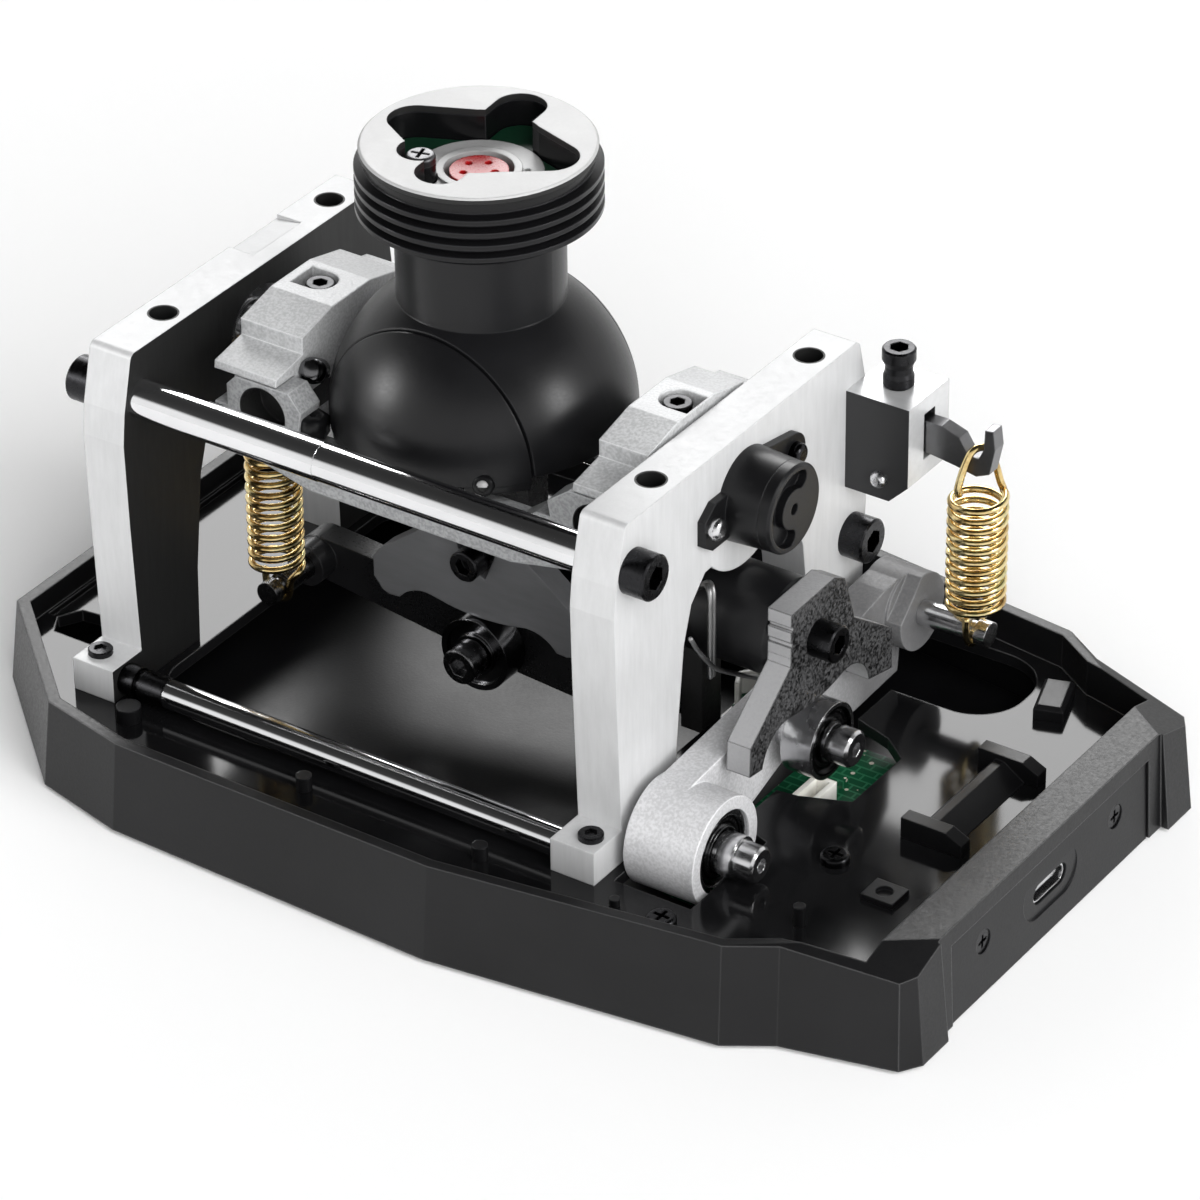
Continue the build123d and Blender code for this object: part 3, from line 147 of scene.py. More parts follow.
class Shade:
    """A Principled material and the few nodes that every finish here is made from."""

    def __init__(self, name, color, metallic=0.0, roughness=0.5, **sockets):
        self.mat = bpy.data.materials.new(name)
        self.mat.use_nodes = True
        self.nt = self.mat.node_tree
        self.bsdf = self.nt.nodes["Principled BSDF"]
        self.bsdf.inputs["Base Color"].default_value = (*color, 1)
        self.bsdf.inputs["Metallic"].default_value = metallic
        self.bsdf.inputs["Roughness"].default_value = roughness
        for key, value in sockets.items():
            self.bsdf.inputs[key.replace("_", " ")].default_value = value
        self.mat.diffuse_color = (*color, 1)

    def node(self, kind, **values):
        n = self.nt.nodes.new(kind)
        for key, value in values.items():
            setattr(n, key, value)
        return n

    def link(self, a, b):
        self.nt.links.new(a, b)

    def coords(self, stretch=(1, 1, 1)):
        tex, mapping = self.node("ShaderNodeTexCoord"), self.node("ShaderNodeMapping")
        mapping.inputs["Scale"].default_value = stretch
        self.link(tex.outputs["Object"], mapping.inputs["Vector"])
        return mapping.outputs["Vector"]

    def noise(self, scale, detail=3.0, rough=0.5, stretch=(1, 1, 1)):
        n = self.node("ShaderNodeTexNoise")
        n.inputs["Scale"].default_value = scale
        n.inputs["Detail"].default_value = detail
        n.inputs["Roughness"].default_value = rough
        self.link(self.coords(stretch), n.inputs["Vector"])
        return n.outputs["Fac"]

    def ramp(self, fac, stops):
        r = self.node("ShaderNodeValToRGB")
        set_stops(r.color_ramp, stops)
        self.link(fac, r.inputs["Fac"])
        return r.outputs["Color"]

    def math(self, op, a, b=0.0, clamp=False):
        m = self.node("ShaderNodeMath", operation=op, use_clamp=clamp)
        for socket, value in zip(m.inputs, (a, b)):
            if isinstance(value, (int, float)):
                socket.default_value = value
            else:
                self.link(value, socket)
        return m.outputs[0]

    def times(self, a, b):
        return self.math("MULTIPLY", a, b)

    def above(self, a, limit):
        return self.math("GREATER_THAN", a, limit)

    def below(self, a, limit):
        return self.math("LESS_THAN", a, limit)

    def either(self, a, b):
        return self.math("MAXIMUM", a, b)

    def invert(self, a):
        return self.math("SUBTRACT", 1.0, a)

    def blend(self, a, b, share):
        """The given share of a with the rest of b."""
        return self.math("ADD", self.times(a, share), self.times(b, 1 - share))

    def remap(self, fac, low, high, to_low, to_high):
        m = self.node("ShaderNodeMapRange")
        for key, value in (("From Min", low), ("From Max", high), ("To Min", to_low), ("To Max", to_high)):
            m.inputs[key].default_value = value
        self.link(fac, m.inputs["Value"])
        return m.outputs["Result"]

    def mix(self, fac, a, b):
        """Colour a where fac is 0 and colour b where it is 1; each is a colour or a socket."""
        m = self.node("ShaderNodeMix", data_type="RGBA")
        for socket, value in ((m.inputs[0], fac), (m.inputs[6], a), (m.inputs[7], b)):
            if isinstance(value, tuple):
                socket.default_value = (*value, 1)
            else:
                self.link(value, socket)
        return m.outputs[2]

    def parts(self, vector, axis):
        s = self.node("ShaderNodeSeparateXYZ")
        self.link(vector, s.inputs[0])
        return s.outputs[axis]

    def position(self, axis):
        """Place along one axis of the frame, in metres."""
        return self.parts(self.coords(), axis)

    def up_facing(self):
        """Upward share of the face's normal."""
        return self.parts(self.node("ShaderNodeNewGeometry").outputs["True Normal"], 2)

    def side_facing(self, axis):
        """Share of the piece's own normal along one axis."""
        return self.parts(self.node("ShaderNodeTexCoord").outputs["Normal"], axis)

    def distance(self, centre):
        """Distance in mm from a point (metres); None leaves that direction out."""
        total = None
        for axis, value in enumerate(centre):
            if value is not None:
                off = self.times(self.math("SUBTRACT", self.position(axis), value), 1000.0)
                square = self.times(off, off)
                total = square if total is None else self.math("ADD", total, square)
        return self.math("POWER", total, 0.5)

    def edges(self, radius=0.00035):
        """1 on the sharp edges of a solid, 0 on its faces."""
        bevel, g = self.node("ShaderNodeBevel", samples=4), self.node("ShaderNodeNewGeometry")
        bevel.inputs["Radius"].default_value = radius
        dot = self.node("ShaderNodeVectorMath", operation="DOT_PRODUCT")
        self.link(bevel.outputs["Normal"], dot.inputs[0])
        self.link(g.outputs["Normal"], dot.inputs[1])
        return self.math("MULTIPLY", self.invert(dot.outputs["Value"]), EDGE_GAIN, clamp=True)

    def color(self, socket):
        self.link(socket, self.bsdf.inputs["Base Color"])

    def rough(self, socket):
        self.link(socket, self.bsdf.inputs["Roughness"])

    def surface(self, bumps, bevel=0.0003):
        """Bevelled edges with a stack of (height, distance, strength) bumps over them."""
        normal = None
        if bevel:
            b = self.node("ShaderNodeBevel", samples=4)
            b.inputs["Radius"].default_value = bevel
            normal = b.outputs["Normal"]
        for height, depth, strength in bumps:
            n = self.node("ShaderNodeBump")
            n.inputs["Distance"].default_value = depth
            n.inputs["Strength"].default_value = strength
            self.link(height, n.inputs["Height"])
            if normal is not None:
                self.link(normal, n.inputs["Normal"])
            normal = n.outputs["Normal"]
        self.link(normal, self.bsdf.inputs["Normal"])


# ------------------------------------------------------------------ finishes
EDGE_GAIN = 9.0                        # how soon a pale edge shows in full: rubbed wear, and on the tray a painted highlight
MACHINING_TINT = 0.10                  # depth of the streaks in machined metal
DECK_TOP_Z = 0.0124                    # the glossy deck and well lie below this, the grained walls above
BRIGHT_SCREW, DARK_SCREW = (0.75, 0.75, 0.76), (0.03, 0.03, 0.032)


def brushed(name, tone, stretch, low, high, metallic=1.0, painted_shade_where=None, dark=(0.012, 0.012, 0.012)):
    """Machined metal with long fine streaks, clouded a little by handling, with painted shade in the dark tone
    where asked.
    """
    s = Shade(name, tone, metallic, (low + high) / 2)
    streak = s.noise(900, 5, 0.7, stretch)
    both = s.blend(streak, s.noise(45, 4, 0.6), 0.55)
    body = s.ramp(both, [(0.35, scaled(tone, 1 - MACHINING_TINT)), (0.65, scaled(tone, 1 + MACHINING_TINT * 0.6))])
    # painted shade: the dark tone where the mask asks
    if painted_shade_where:
        body = s.mix(painted_shade_where(s), body, dark)
    s.color(body)
    s.rough(s.remap(both, 0.35, 0.65, low, high))
    s.surface([(streak, 0.00004, 0.35), (s.noise(2600, 2), 0.00002, 0.25)])
    return s.mat


def cast(name, tone, low, high, grain, metallic=0.4, contrast=0.25, painted_light_rim=None, painted_shade_where=None):
    """Cast aluminium: fine pitted grain, brighter where its edges are rubbed; the rim tone is painted light on the
    faces that look away from X, and the shade mask gives the share of near black, which is painted shade."""
    s = Shade(name, tone, metallic, (low + high) / 2)
    pits = s.noise(2300, 2, 0.5)
    cloud = s.noise(120, 4, 0.6)
    both = s.blend(pits, cloud, 0.75)
    body = s.ramp(both, [(0.40, scaled(tone, 1 - contrast)), (0.5, tone), (0.60, scaled(tone, 1 + contrast))])
    # painted light: a paler tone on the faces turned away from X
    if painted_light_rim:
        across = s.below(s.math("ABSOLUTE", s.side_facing(0)), 0.7)
        body = s.mix(across, body, painted_light_rim)
    body = s.mix(s.edges(), body, scaled(tone, 1.5))
    # painted shade: near black where the mask asks
    if painted_shade_where:
        body = s.mix(painted_shade_where(s), body, (0.02, 0.02, 0.02))
    s.color(body)
    s.rough(s.remap(pits, 0.35, 0.7, low, high))
    s.surface([(pits, grain, 0.5), (cloud, 0.00015, 0.25)], 0.0004)
    return s.mat


def plastic(name, tone, roughness, grain=0.00002, edge=2.2, bevel=0.0003, **sockets):
    """Moulded plastic with a fine spark texture and slightly paler edges."""
    s = Shade(name, tone, 0.0, roughness, **sockets)
    fine = s.noise(2400, 3, 0.6)
    cloud = s.noise(60, 3, 0.6)
    body = s.ramp(cloud, [(0.35, scaled(tone, 0.8)), (0.65, scaled(tone, 1.25))])
    s.color(s.mix(s.edges(), body, scaled(tone, edge)))
    s.rough(s.remap(s.blend(fine, cloud, 0.5), 0.3, 0.7, roughness * 0.85, min(roughness * 1.2, 1)))
    s.surface([(fine, grain, 0.4)], bevel)
    return s.mat


def tray_finish():
    """Satin grained walls and rim, a glossy deck and well below the rim, and a painted highlight along the sharp
    edges.
    """
    s = Shade("tray_black", (0.004, 0.004, 0.0044), 0.0, 0.3, Specular_IOR_Level=0.28)
    fine = s.noise(2000, 4, 0.65)
    cloud = s.noise(35, 3, 0.6)
    deck = s.times(s.below(s.position(2), DECK_TOP_Z), s.above(s.up_facing(), 0.9))
    sheen = s.node("ShaderNodeMix", data_type="FLOAT")
    s.link(deck, sheen.inputs[0])
    s.link(s.remap(fine, 0.3, 0.7, 0.30, 0.44), sheen.inputs[2])
    s.link(s.remap(cloud, 0.35, 0.65, 0.07, 0.13), sheen.inputs[3])
    s.rough(sheen.outputs[0])
    body = s.ramp(cloud, [(0.35, (0.003, 0.003, 0.0033)), (0.65, (0.006, 0.006, 0.0065))])
    # painted highlight: a paler grey along the sharp edges of the rim and walls
    s.color(s.mix(s.edges(0.0003), body, (0.07, 0.07, 0.071)))
    grain = s.times(fine, s.invert(deck))
    s.surface([(grain, 0.00004, 0.45), (s.noise(25, 2), 0.0006, 0.05)], 0.0004)
    return s.mat


def gold_wire():
    """Yellow-passivated steel: straw gold that drifts to brown and green along the wire."""
    s = Shade("yellow_zinc", (0.70, 0.52, 0.24), 1.0, 0.2)
    drift = s.noise(260, 3, 0.6)
    fine = s.noise(1600, 3, 0.6)
    s.color(s.ramp(drift, [(0.32, (0.42, 0.27, 0.10)), (0.45, (0.78, 0.58, 0.26)), (0.56, (0.86, 0.70, 0.36)),
                           (0.68, (0.62, 0.56, 0.28))]))
    s.rough(s.remap(fine, 0.3, 0.7, 0.14, 0.28))
    s.surface([(fine, 0.00002, 0.3)], None)
    return s.mat


def polished(name, tone, low, high, stretch=(1, 1, 1)):
    """Smooth bright or oxidised metal with faint turning marks."""
    s = Shade(name, tone, 1.0, low)
    streak = s.noise(1200, 4, 0.6, stretch)
    s.rough(s.remap(streak, 0.3, 0.7, low, high))
    s.color(s.ramp(s.noise(80, 3), [(0.35, scaled(tone, 0.93)), (0.65, tone)]))
    s.surface([(streak, 0.00001, 0.2)], 0.00025)
    return s.mat


def board_finish():
    """Green solder mask over faint tracks, with small pale pads."""
    s = Shade("board_green", (0.012, 0.10, 0.045), 0.0, 0.25)
    brick = s.node("ShaderNodeTexBrick")
    for key, value in (("Scale", 160), ("Mortar Size", 0.03), ("Color1", (0.008, 0.07, 0.032, 1)),
                       ("Color2", (0.011, 0.10, 0.045, 1)), ("Mortar", (0.03, 0.18, 0.085, 1))):
        brick.inputs[key].default_value = value
    s.link(s.coords(), brick.inputs["Vector"])
    dots = s.node("ShaderNodeTexVoronoi")
    dots.inputs["Scale"].default_value = 420
    s.link(s.coords(), dots.inputs["Vector"])
    pads = s.below(dots.outputs["Distance"], 0.16)
    s.color(s.mix(pads, brick.outputs["Color"], (0.62, 0.60, 0.50)))
    s.surface([(brick.outputs["Fac"], 0.00003, 0.4)], 0.0001)
    return s.mat


def small_turned(s, low, high, grain=1800, strength=0.2):
    """Gives a material the even sheen of small turned parts."""
    s.rough(s.remap(s.noise(1200, 4), 0.3, 0.7, low, high))
    s.surface([(s.noise(grain, 2), 0.00001, strength)], 0.0002)
    return s.mat


def ear_screw_finish():
    """The sensor's two ear screws: the front one bright, the rear one black."""
    s = Shade("ear_screws", DARK_SCREW, 1.0, 0.2)
    s.color(s.mix(s.above(s.position(1), 0.0), BRIGHT_SCREW, DARK_SCREW))
    return small_turned(s, 0.14, 0.28, 2400, 0.3)


def plate_screw_finish():
    """Black oxide, but the small screw in the spring block is bright."""
    s = Shade("plate_screws", (0.035, 0.035, 0.037), 1.0, 0.28)
    bright = s.below(s.distance(BLOCK_SCREW), BLOCK_SCREW_REACH)
    s.color(s.mix(bright, DARK_SCREW, BRIGHT_SCREW))
    return small_turned(s, 0.22, 0.34)


def ringed_bearing():
    """Ball bearing end faces: bright races either side of a dark shield with a dark gap at its edges."""
    s = Shade("shielded_bearing", (0.6, 0.6, 0.61), 1.0, 0.2)
    near = s.math("MINIMUM", s.distance(ROLLER_AXIS), s.distance(ARM_PIVOT_AXIS))
    light, dark, shield = (0.62, 0.62, 0.63), (0.02, 0.02, 0.02), (0.22, 0.22, 0.225)
    bands = [(0.0, light), (0.31, light), (0.32, dark), (0.35, dark), (0.36, shield), (0.41, shield), (0.42, dark),
             (0.44, dark), (0.45, shield), (0.49, shield), (0.50, dark), (0.53, dark), (0.54, light)]
    s.color(s.ramp(s.times(near, 0.1), bands))
    return small_turned(s, 0.16, 0.28)


# ------------------------------------------------------------------ where a finish changes or painted shade lies (metres; radii in mm)
LEFT_PLATE_INNER_X = -0.0562
TAPPED_HOLES = [(x, y) for x in (-0.0602, 0.0260) for y in (-0.0183, 0.0231)]
TAPPED_HOLE_REACH, TAPPED_HOLE_LOW_Z, PLATE_TOP_Z = 2.4, 0.06, 0.0735
FRAME_BORES, FRAME_BORE_Z = [(-0.0417, 4.15), (0.0171, 3.85)], 0.0564
LUG_MIN_X, LUG_MAX_Z = 0.0129, 0.0400
ARM_MIDDLE_Y, ARM_REAR_Y, ARM_REAR_SHARE = 0.004, 0.022, 0.75
POCKET_FLOOR_Z, POCKET_FLOOR_SPAN = 0.0656, 0.0004
BLOCK_SCREW, BLOCK_SCREW_REACH = (0.0358, 0.0272, 0.0472), 3.5
ROLLER_AXIS, ARM_PIVOT_AXIS = (None, 0.0, 0.0196), (None, -0.026, 0.0145)


def plate_painted_shade(s):
    """Painted shade on the left plate's inner face and on the walls of the tapped holes in both top edges."""
    holes = None
    for x, y in TAPPED_HOLES:
        near = s.below(s.distance((x, y, None)), TAPPED_HOLE_REACH)
        holes = near if holes is None else s.either(holes, near)
    high = s.above(s.position(2), TAPPED_HOLE_LOW_Z)
    top = s.times(s.above(s.up_facing(), 0.95), s.above(s.position(2), PLATE_TOP_Z))
    inside = s.times(s.below(s.position(0), LEFT_PLATE_INNER_X), s.above(s.side_facing(0), 0.8))
    return s.either(s.times(s.times(holes, high), s.invert(top)), inside)


def yoke_painted_shade(s):
    """Painted shade on the walls of the round openings through the frame's bars and on the lug that hangs from its
    right cheek.
    """
    left, right = (s.below(s.distance((x, None, FRAME_BORE_Z)), reach) for x, reach in FRAME_BORES)
    lug = s.times(s.above(s.position(0), LUG_MIN_X), s.below(s.position(2), LUG_MAX_Z))
    return s.either(s.either(left, right), lug)


def arm_rear_shade(s):
    """Painted shade that grows from 0 at the follower arm's middle towards its rear block."""
    return s.remap(s.position(1), ARM_MIDDLE_Y, ARM_REAR_Y, 0.0, ARM_REAR_SHARE)


def saddle_pocket_shade(s):
    """Painted shade on the floors of the pockets that the clamp screws sit in."""
    off = s.math("ABSOLUTE", s.math("SUBTRACT", s.position(2), POCKET_FLOOR_Z))
    return s.times(s.below(off, POCKET_FLOOR_SPAN), s.above(s.up_facing(), 0.9))


def block_front_shade(s):
    """Painted shade on the face of the spring block that looks to the front."""
    return s.below(s.side_facing(1), -0.7)


def collar_wall_shade(s):
    """Painted shade on the walls of the collar plate's keyed opening and its outer edge."""
    return s.below(s.up_facing(), 0.3)


# ------------------------------------------------------------------ which finish each node has
GREEN = board_finish()
WHITE = plastic("connector_white", (0.78, 0.77, 0.72), 0.35, 0.00001, 1.1)
GOLD = gold_wire()
MOULD = plastic("moulded_black", (0.004, 0.004, 0.0044), 0.34, Specular_IOR_Level=0.3)
BEARING_DARK = polished("oiled_bearing", (0.16, 0.16, 0.165), 0.12, 0.22)
COLLAR = brushed("collar_aluminium", (0.44, 0.44, 0.44), (1, 1, 1), 0.46, 0.58, 0.25, painted_shade_where=collar_wall_shade)
WIRE = polished("drawn_wire", (0.42, 0.42, 0.42), 0.3, 0.42, (0.1, 0.1, 0.1))

FINISH = [
    (tray_finish(), ["base_tray"]),
    (MOULD, ["deck_posts", "clip_bracket", "latch_block", "cam_carrier", "sensor_housing", "sensor_cap"]),
    (plastic("panel_black", (0.004, 0.004, 0.0045), 0.40, 0.00004, Specular_IOR_Level=0.28),
     ["end_panel", "bottom_cover"]),
    (plastic("dome_black", (0.004, 0.004, 0.0045), 0.34, 0.000012, 1.6, Specular_IOR_Level=0.35),
     ["dome_cap_front", "dome_cap_rear", "stick_column"]),
    (plastic("thread_black", (0.003, 0.003, 0.0033), 0.22, 0.000008, 6.0, 0.00015, Specular_IOR_Level=0.3),
     ["thread_collar"]),
    (plastic("arm_black", (0.006, 0.006, 0.0065), 0.28, 0.00002), ["inner_arm", "cam_hanger"]),
    (plastic("foot_rubber", (0.02, 0.02, 0.02), 0.8, 0.00008), ["rubber_feet"]),
    (plastic("connector_red", (0.38, 0.008, 0.01), 0.28, 0.00001, 1.3), ["connector_core"]),
    (plastic("collar_board_green", (0.004, 0.022, 0.011), 0.4, 0.00001, 1.5), ["collar_board"]),
    (WHITE, ["board_connector"]),
    (GREEN, ["control_board"]),
    (brushed("plate_aluminium", (0.55, 0.553, 0.557), (1, 1, 0.12), 0.46, 0.6, 0.30, painted_shade_where=plate_painted_shade),
     ["side_plate_left", "side_plate_right"]),
    (brushed("block_aluminium", (0.58, 0.585, 0.59), (0.2, 1, 1), 0.30, 0.42, 0.5, painted_shade_where=block_front_shade,
             dark=(0.035, 0.035, 0.036)), ["spring_anchor_block"]),
    (COLLAR, ["collar_plate"]),
    (brushed("hook_steel", (0.22, 0.22, 0.225), (1, 1, 1), 0.28, 0.4), ["outer_hook"]),
    (brushed("grey_cam_plate", (0.22, 0.222, 0.23), (0.15, 1, 1), 0.30, 0.42, 0.6), ["inner_cam"]),
    (brushed("connector_ring_metal", (0.42, 0.42, 0.42), (1, 1, 1), 0.45, 0.6, 0.4), ["connector_ring"]),
    (cast("saddle_aluminium", (0.46, 0.465, 0.47), 0.40, 0.56, 0.00004, 0.25, 0.15, painted_shade_where=saddle_pocket_shade),
     ["saddle_cap_left", "saddle_cap_right"]),
    (cast("cast_aluminium", (0.04, 0.04, 0.041), 0.36, 0.60, 0.00012, contrast=0.95, painted_light_rim=(0.34, 0.34, 0.345)),
     ["outer_cam"]),
    (cast("arm_aluminium", (0.52, 0.52, 0.53), 0.46, 0.62, 0.00003, 0.2, 0.12, painted_shade_where=arm_rear_shade), ["outer_arm"]),
    (cast("yoke_aluminium", (0.32, 0.325, 0.33), 0.38, 0.54, 0.00005, 0.3, 0.2, painted_shade_where=yoke_painted_shade),
     ["yoke_frame"]),
    (polished("polished_rod", (0.86, 0.86, 0.87), 0.06, 0.12, (0.1, 1, 1)), ["tie_rods_upper", "tie_rods_lower"]),
    (polished("turned_steel", (0.72, 0.72, 0.73), 0.14, 0.26),
     ["arm_pivot_shaft", "axle_stub_left", "axle_stub_right", "stick_axle", "outer_roller_axle",
      "outer_spring_pin", "usb_inlet"]),
    (polished("dark_pin_steel", (0.20, 0.20, 0.205), 0.18, 0.3),
     ["inner_spring_pin", "inner_pivot_pin", "inner_hook", "inner_roller_bolt"]),
    (polished("black_oxide", (0.035, 0.035, 0.037), 0.24, 0.36),
     ["case_screws", "yoke_screws", "inner_cam_screw", "tension_screw", "low_rod_sleeves"]),
    (polished("bearing_steel", (0.66, 0.66, 0.67), 0.12, 0.22), ["plate_bearings", "stick_bearings"]),
    (BEARING_DARK, ["inner_roller"]),
    (polished("small_screw_steel", (0.14, 0.14, 0.145), 0.36, 0.46), ["collar_screw"]),
    (ear_screw_finish(), ["sensor_nuts"]),
    (plate_screw_finish(), ["plate_screws"]),
    (ringed_bearing(), ["outer_arm_bearings", "outer_roller"]),
]
for finish, names in FINISH:
    for name in names:
        ob = nodes[name]
        if not ob.material_slots:
            ob.data.materials.append(finish)
        for material_slot in ob.material_slots:
            material_slot.material = finish

# ------------------------------------------------------------------ springs, as wound wire
COIL_STEPS = 28                        # points in one turn of a coil
OUTER_TOP = [(3.5, -9.2), (2.9, -7.0), (2.2, -4.9), (1.3, -3.2), (0, -2.7), (-1.3, -3.2), (-2.2, -4.9),
             (-2.9, -7.0), (-3.4, -9.0), (-3.2, -9.9)]
OUTER_FOOT = [(-2.6, -31.2), (-2.5, -33.0), (-1.9, -35.1), (-0.9, -36.1), (0.3, -36.3), (1.6, -35.6), (2.3, -34.0),
              (2.6, -32.2), (3.1, -31.0)]
INNER_TOP = [(3.0, -11.6), (2.6, -10.2), (1.7, -8.4), (0, -7.75), (-1.7, -8.4), (-2.6, -10.2), (-2.9, -11.6)]
INNER_FOOT = [(-2.3, -36.2), (-2.2, -38.2), (-1.6, -39.9), (0, -40.45), (1.6, -39.9), (2.2, -38.4), (2.5, -36.6)]


def wound_spring(name, node, body, axis, low, high, coil_r, wire_r, turns, foot, top, angles, turned):
    """A helix about axis, from low to high, with a shaped loop at each end, in mm. foot and top are the loops, as
    (across, z); angles are where on the coil they leave it, and turned how far each is turned about the axis,
    in degrees, the foot's first."""
    x, y = axis
    start, end = (math.radians(a) for a in angles)

    def loop(points, degrees):
        c, s = math.cos(math.radians(degrees)), math.sin(math.radians(degrees))
        return [at(x + u * s, y + u * c, z) for u, z in points]

    sweep = turns * 2 * math.pi + (end - start)
    steps = int(sweep / (2 * math.pi) * COIL_STEPS)
    coil = []
    for i in range(steps + 1):
        a = start + sweep * i / steps
        z = low + (high - low) * i / steps
        coil.append(at(x + coil_r * math.cos(a), y + coil_r * math.sin(a), z))
    foot_line = smooth_line(loop(foot, turned[0]) + [coil[0], coil[3]])[:-LINE_STEPS]
    top_line = smooth_line([coil[-4], coil[-1]] + loop(top, turned[1]))[LINE_STEPS:]
    verts, faces = tube_mesh(foot_line[:-1] + coil + top_line[1:], wire_r / MM, WIRE_SIDES)
    ob = add_mesh(name, verts, faces, GOLD, body)
    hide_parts(node)


wound_spring("outer_spring_wire", "outer_spring", "base", axis=(66.4, 33.0), low=-30.0, high=-10.8, coil_r=4.05,
             wire_r=0.58, turns=11, foot=OUTER_FOOT, top=OUTER_TOP, angles=(100, 55), turned=(0, 33))
wound_spring("inner_spring_wire", "inner_spring", "yoke", axis=(-31.5, -8.6), low=-34.8, high=-12.6, coil_r=3.85,
             wire_r=0.55, turns=12, foot=INNER_FOOT, top=INNER_TOP, angles=(10, -20), turned=(90, 90))


# ------------------------------------------------------------------ small pieces
def lathe(name, profile, origin, axis, material, body, segments=28):
    """A turned piece: profile of (along, radius) in mm from an origin in mm, about a direction."""
    axis = Vector(axis).normalized()
    side = axis.orthogonal().normalized()
    up = axis.cross(side)
    verts = []
    for along, r in profile:
        for c, s in round_turn(segments):
            off = axis * along + side * (r * c) + up * (r * s)
            verts.append(at(origin[0] + off.x, origin[1] + off.y, origin[2] + off.z))
    add_mesh(name, verts, skin(len(profile), segments), material, body)


def rounded_box(name, size, centre, turn, material, body):
    """A small moulded block in mm with rounded edges, turned about Z by degrees."""
    w, d, h = (v / 2 for v in size)
    c, s = math.cos(math.radians(turn)), math.sin(math.radians(turn))
    corners = [(x, y, z) for z in (-h, h) for x, y in ((-w, -d), (w, -d), (w, d), (-w, d))]
    verts = [at(centre[0] + x * c - y * s, centre[1] + x * s + y * c, centre[2] + z) for x, y, z in corners]
    faces = [(3, 2, 1, 0), (4, 5, 6, 7), (0, 1, 5, 4), (1, 2, 6, 5), (2, 3, 7, 6), (3, 0, 4, 7)]
    ob = add_mesh(name, verts, faces, material, body, False)
    mod = ob.modifiers.new("edges", "BEVEL")
    mod.width, mod.segments = BOX_EDGE / MM, 3


def wire(name, points, radius, body):
    verts, faces = tube_mesh(smooth_line([at(*p) for p in points]), radius / MM, THIN_WIRE_SIDES)
    add_mesh(name, verts, faces, WIRE, body)


BOX_EDGE = 0.25                        # rounding of the lead plug's blocks, mm
CLIP_PAIR = (-0.45, 0.45)              # the clip is a pair of wires side by side
for i, dx in enumerate(CLIP_PAIR):
    wire(f"clip_wire_{i}", [(44.6, -8.2 + dx, -12.4), (46.8, -9.4 + dx, -10.6), (47.9, -10.1 + dx, -11.6),
                            (48.0, -10.2 + dx, -15.0), (48.0, -10.2 + dx, -20.0), (48.0, -10.15 + dx * 0.8, -25.4)],
         0.4, "yoke")
wire("clip_wire_long", [(47.6, -15.1, -16.6), (47.8, -13.4, -19.6), (48.4, -10.6, -23.4), (48.9, -8.2, -25.4),
                        (49.6, -3.6, -28.4), (50.2, 0.4, -30.8), (50.4, 3.4, -31.6)], 0.38, "yoke")

LEAD_AT = (39.8, 12.4, -41.6)
LEAD_PARTS = [  # name, size, offset from LEAD_AT, turn in degrees, finish
    ("lead_board", (2.6, 8.4, 3.2), (0.4, 0.2, -3.6), 8, GREEN),
    ("lead_plug_a", (0.8, 3.3, 4.0), (-0.1, -2.6, 0.1), 26, WHITE),
    ("lead_plug_b", (0.8, 3.2, 3.8), (0.0, 0.0, 0.0), -38, WHITE),
    ("lead_plug_c", (0.8, 3.3, 4.0), (0.1, 2.6, 0.1), 26, WHITE),
]
for name, size, offset, turn, finish in LEAD_PARTS:
    rounded_box(name, size, [a + b for a, b in zip(LEAD_AT, offset)], turn, finish, "base")

lathe("saddle_plunger", [(0, 1.9), (3.2, 2.05), (3.9, 1.9), (4.4, 1.5), (4.65, 0.9), (4.7, 0.05)],
      (-21.5, -9.6, 3.0), (0.25, -0.75, 0.45), BEARING_DARK, "yoke")
lathe("bar_boss", [(0, 2.5), (2.6, 2.5), (3.0, 2.2), (3.05, 0.6), (2.4, 0.5), (2.4, 0.02)],
      (-17.2, -16.9, -2.6), (0, 0, 1), MOULD, "yoke", 6)
lathe("cap_tab", [(0, 1.6), (0.9, 1.6), (1.2, 1.3), (1.2, 0.05)], (14.3, -18.3, -0.2), (0.35, -0.9, 0.25),
      MOULD, "yoke")
lathe("cap_screw", [(0, 0.9), (0.25, 0.9), (0.5, 0.8), (0.72, 0.55), (0.82, 0.25), (0.84, 0.02)],
      (14.7, -19.3, 0.1), (0.35, -0.9, 0.3), COLLAR, "yoke")

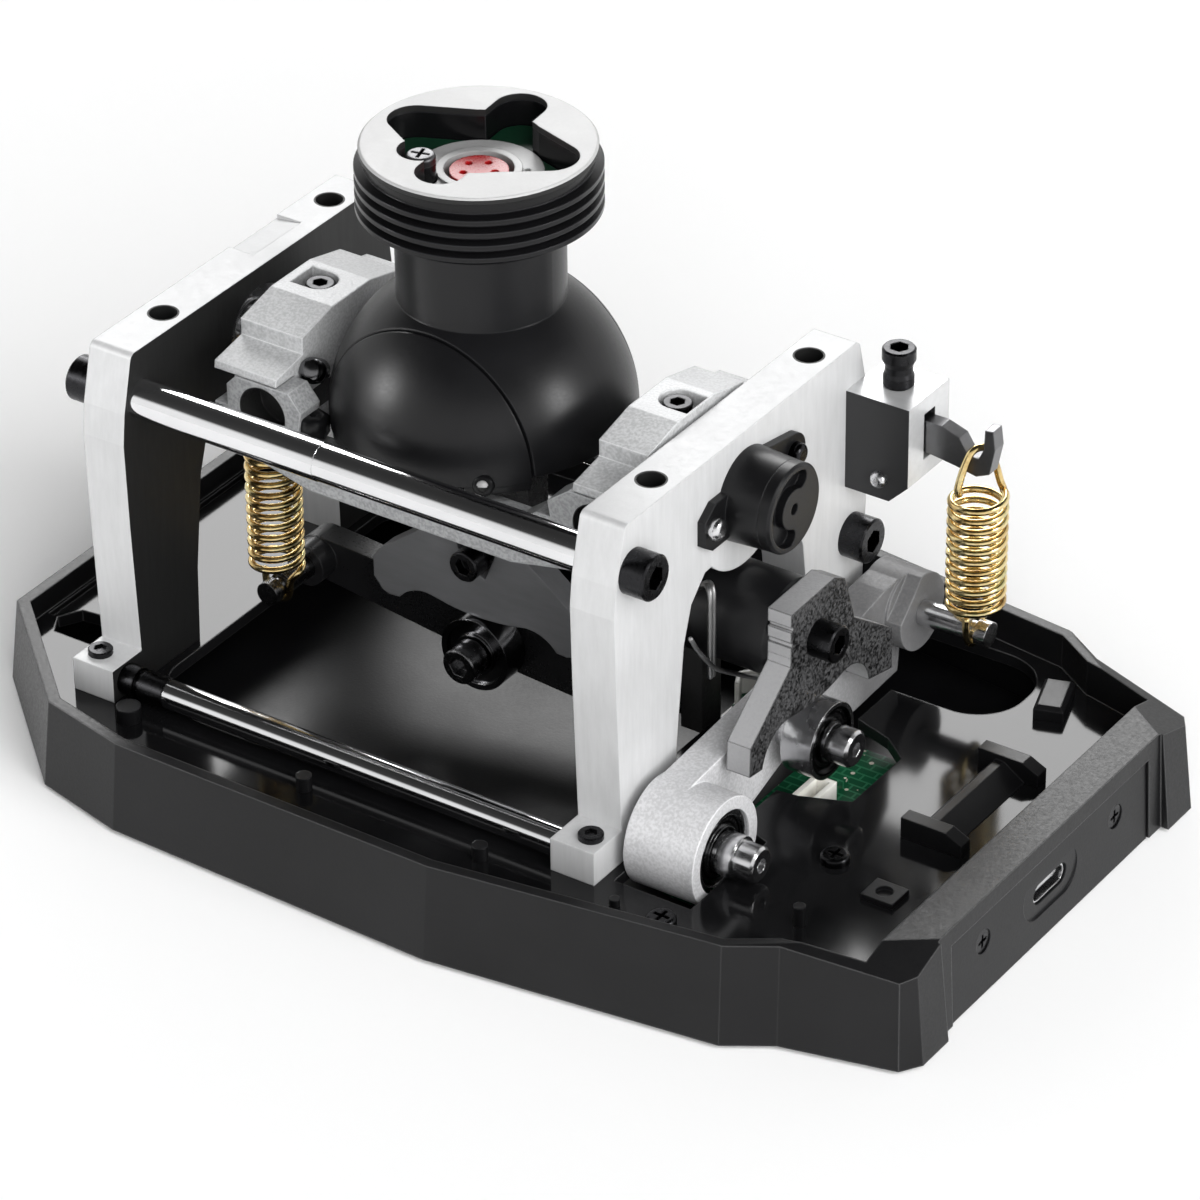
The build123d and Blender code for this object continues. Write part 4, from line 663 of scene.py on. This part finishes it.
# ------------------------------------------------------------------ floor and light
FLOOR_REACH = 4                        # half the floor's width, m
SUN_SPREAD = 70                        # degrees; a wide sun casts the photograph's soft shadow
WORLD_STOPS = [(0.0, 0.95), (0.42, 0.85), (0.56, 0.05), (1.0, 0.025)]  # brightness, from the horizon to overhead

floor_mat = Shade("floor_paper", (0.95, 0.95, 0.95), 0.0, 0.7, Specular_IOR_Level=0.1)
floor_mat.color(floor_mat.ramp(floor_mat.noise(3, 2), [(0.3, 0.95), (0.7, 0.957)]))
floor_corners = [(x * FLOOR_REACH, y * FLOOR_REACH, 0) for x, y in ((-1, -1), (1, -1), (1, 1), (-1, 1))]
floor = add_mesh("floor", floor_corners, [(0, 1, 2, 3)], floor_mat.mat, None, False)


def light(name, kind, location, target, **values):
    data = bpy.data.lights.new(name, kind)
    for key, value in values.items():
        setattr(data, key, value)
    ob = bpy.data.objects.new(name, data)
    bpy.context.scene.collection.objects.link(ob)
    ob.location = location
    ob.rotation_euler = (Vector(target) - Vector(location)).to_track_quat("-Z", "Y").to_euler()
    ob.visible_camera = False
    return ob


overhead = light("overhead", "SUN", (0.80, -0.42, 0.52), (0, 0, 0), energy=5.3, angle=math.radians(SUN_SPREAD))
overhead.visible_glossy = False
panel = light("back_panel", "AREA", (-0.476, 0.70, 0.56), (0, 0, 0.02), shape="RECTANGLE", size=0.66, size_y=0.40,
              energy=6.5)
panel.visible_diffuse = False
for name, spot in (("left_card", (-0.62, -0.51, 0.27)), ("right_card", (0.78, 0.10, 0.33))):
    card = light(name, "AREA", spot, (-0.016, 0, 0.06), shape="DISK", size=0.26, energy=2.6)
    card.visible_diffuse = False

world = bpy.data.worlds.new("studio")
bpy.context.scene.world = world
world.use_nodes = True
wn, wl = world.node_tree.nodes, world.node_tree.links
where, split, shade = wn.new("ShaderNodeTexCoord"), wn.new("ShaderNodeSeparateXYZ"), wn.new("ShaderNodeValToRGB")
set_stops(shade.color_ramp, WORLD_STOPS)
wl.new(where.outputs["Generated"], split.inputs[0])
wl.new(split.outputs[2], shade.inputs["Fac"])
wl.new(shade.outputs["Color"], wn["Background"].inputs[0])
wn["Background"].inputs[1].default_value = 1.0
bpy.context.scene.view_settings.view_transform = "Standard"
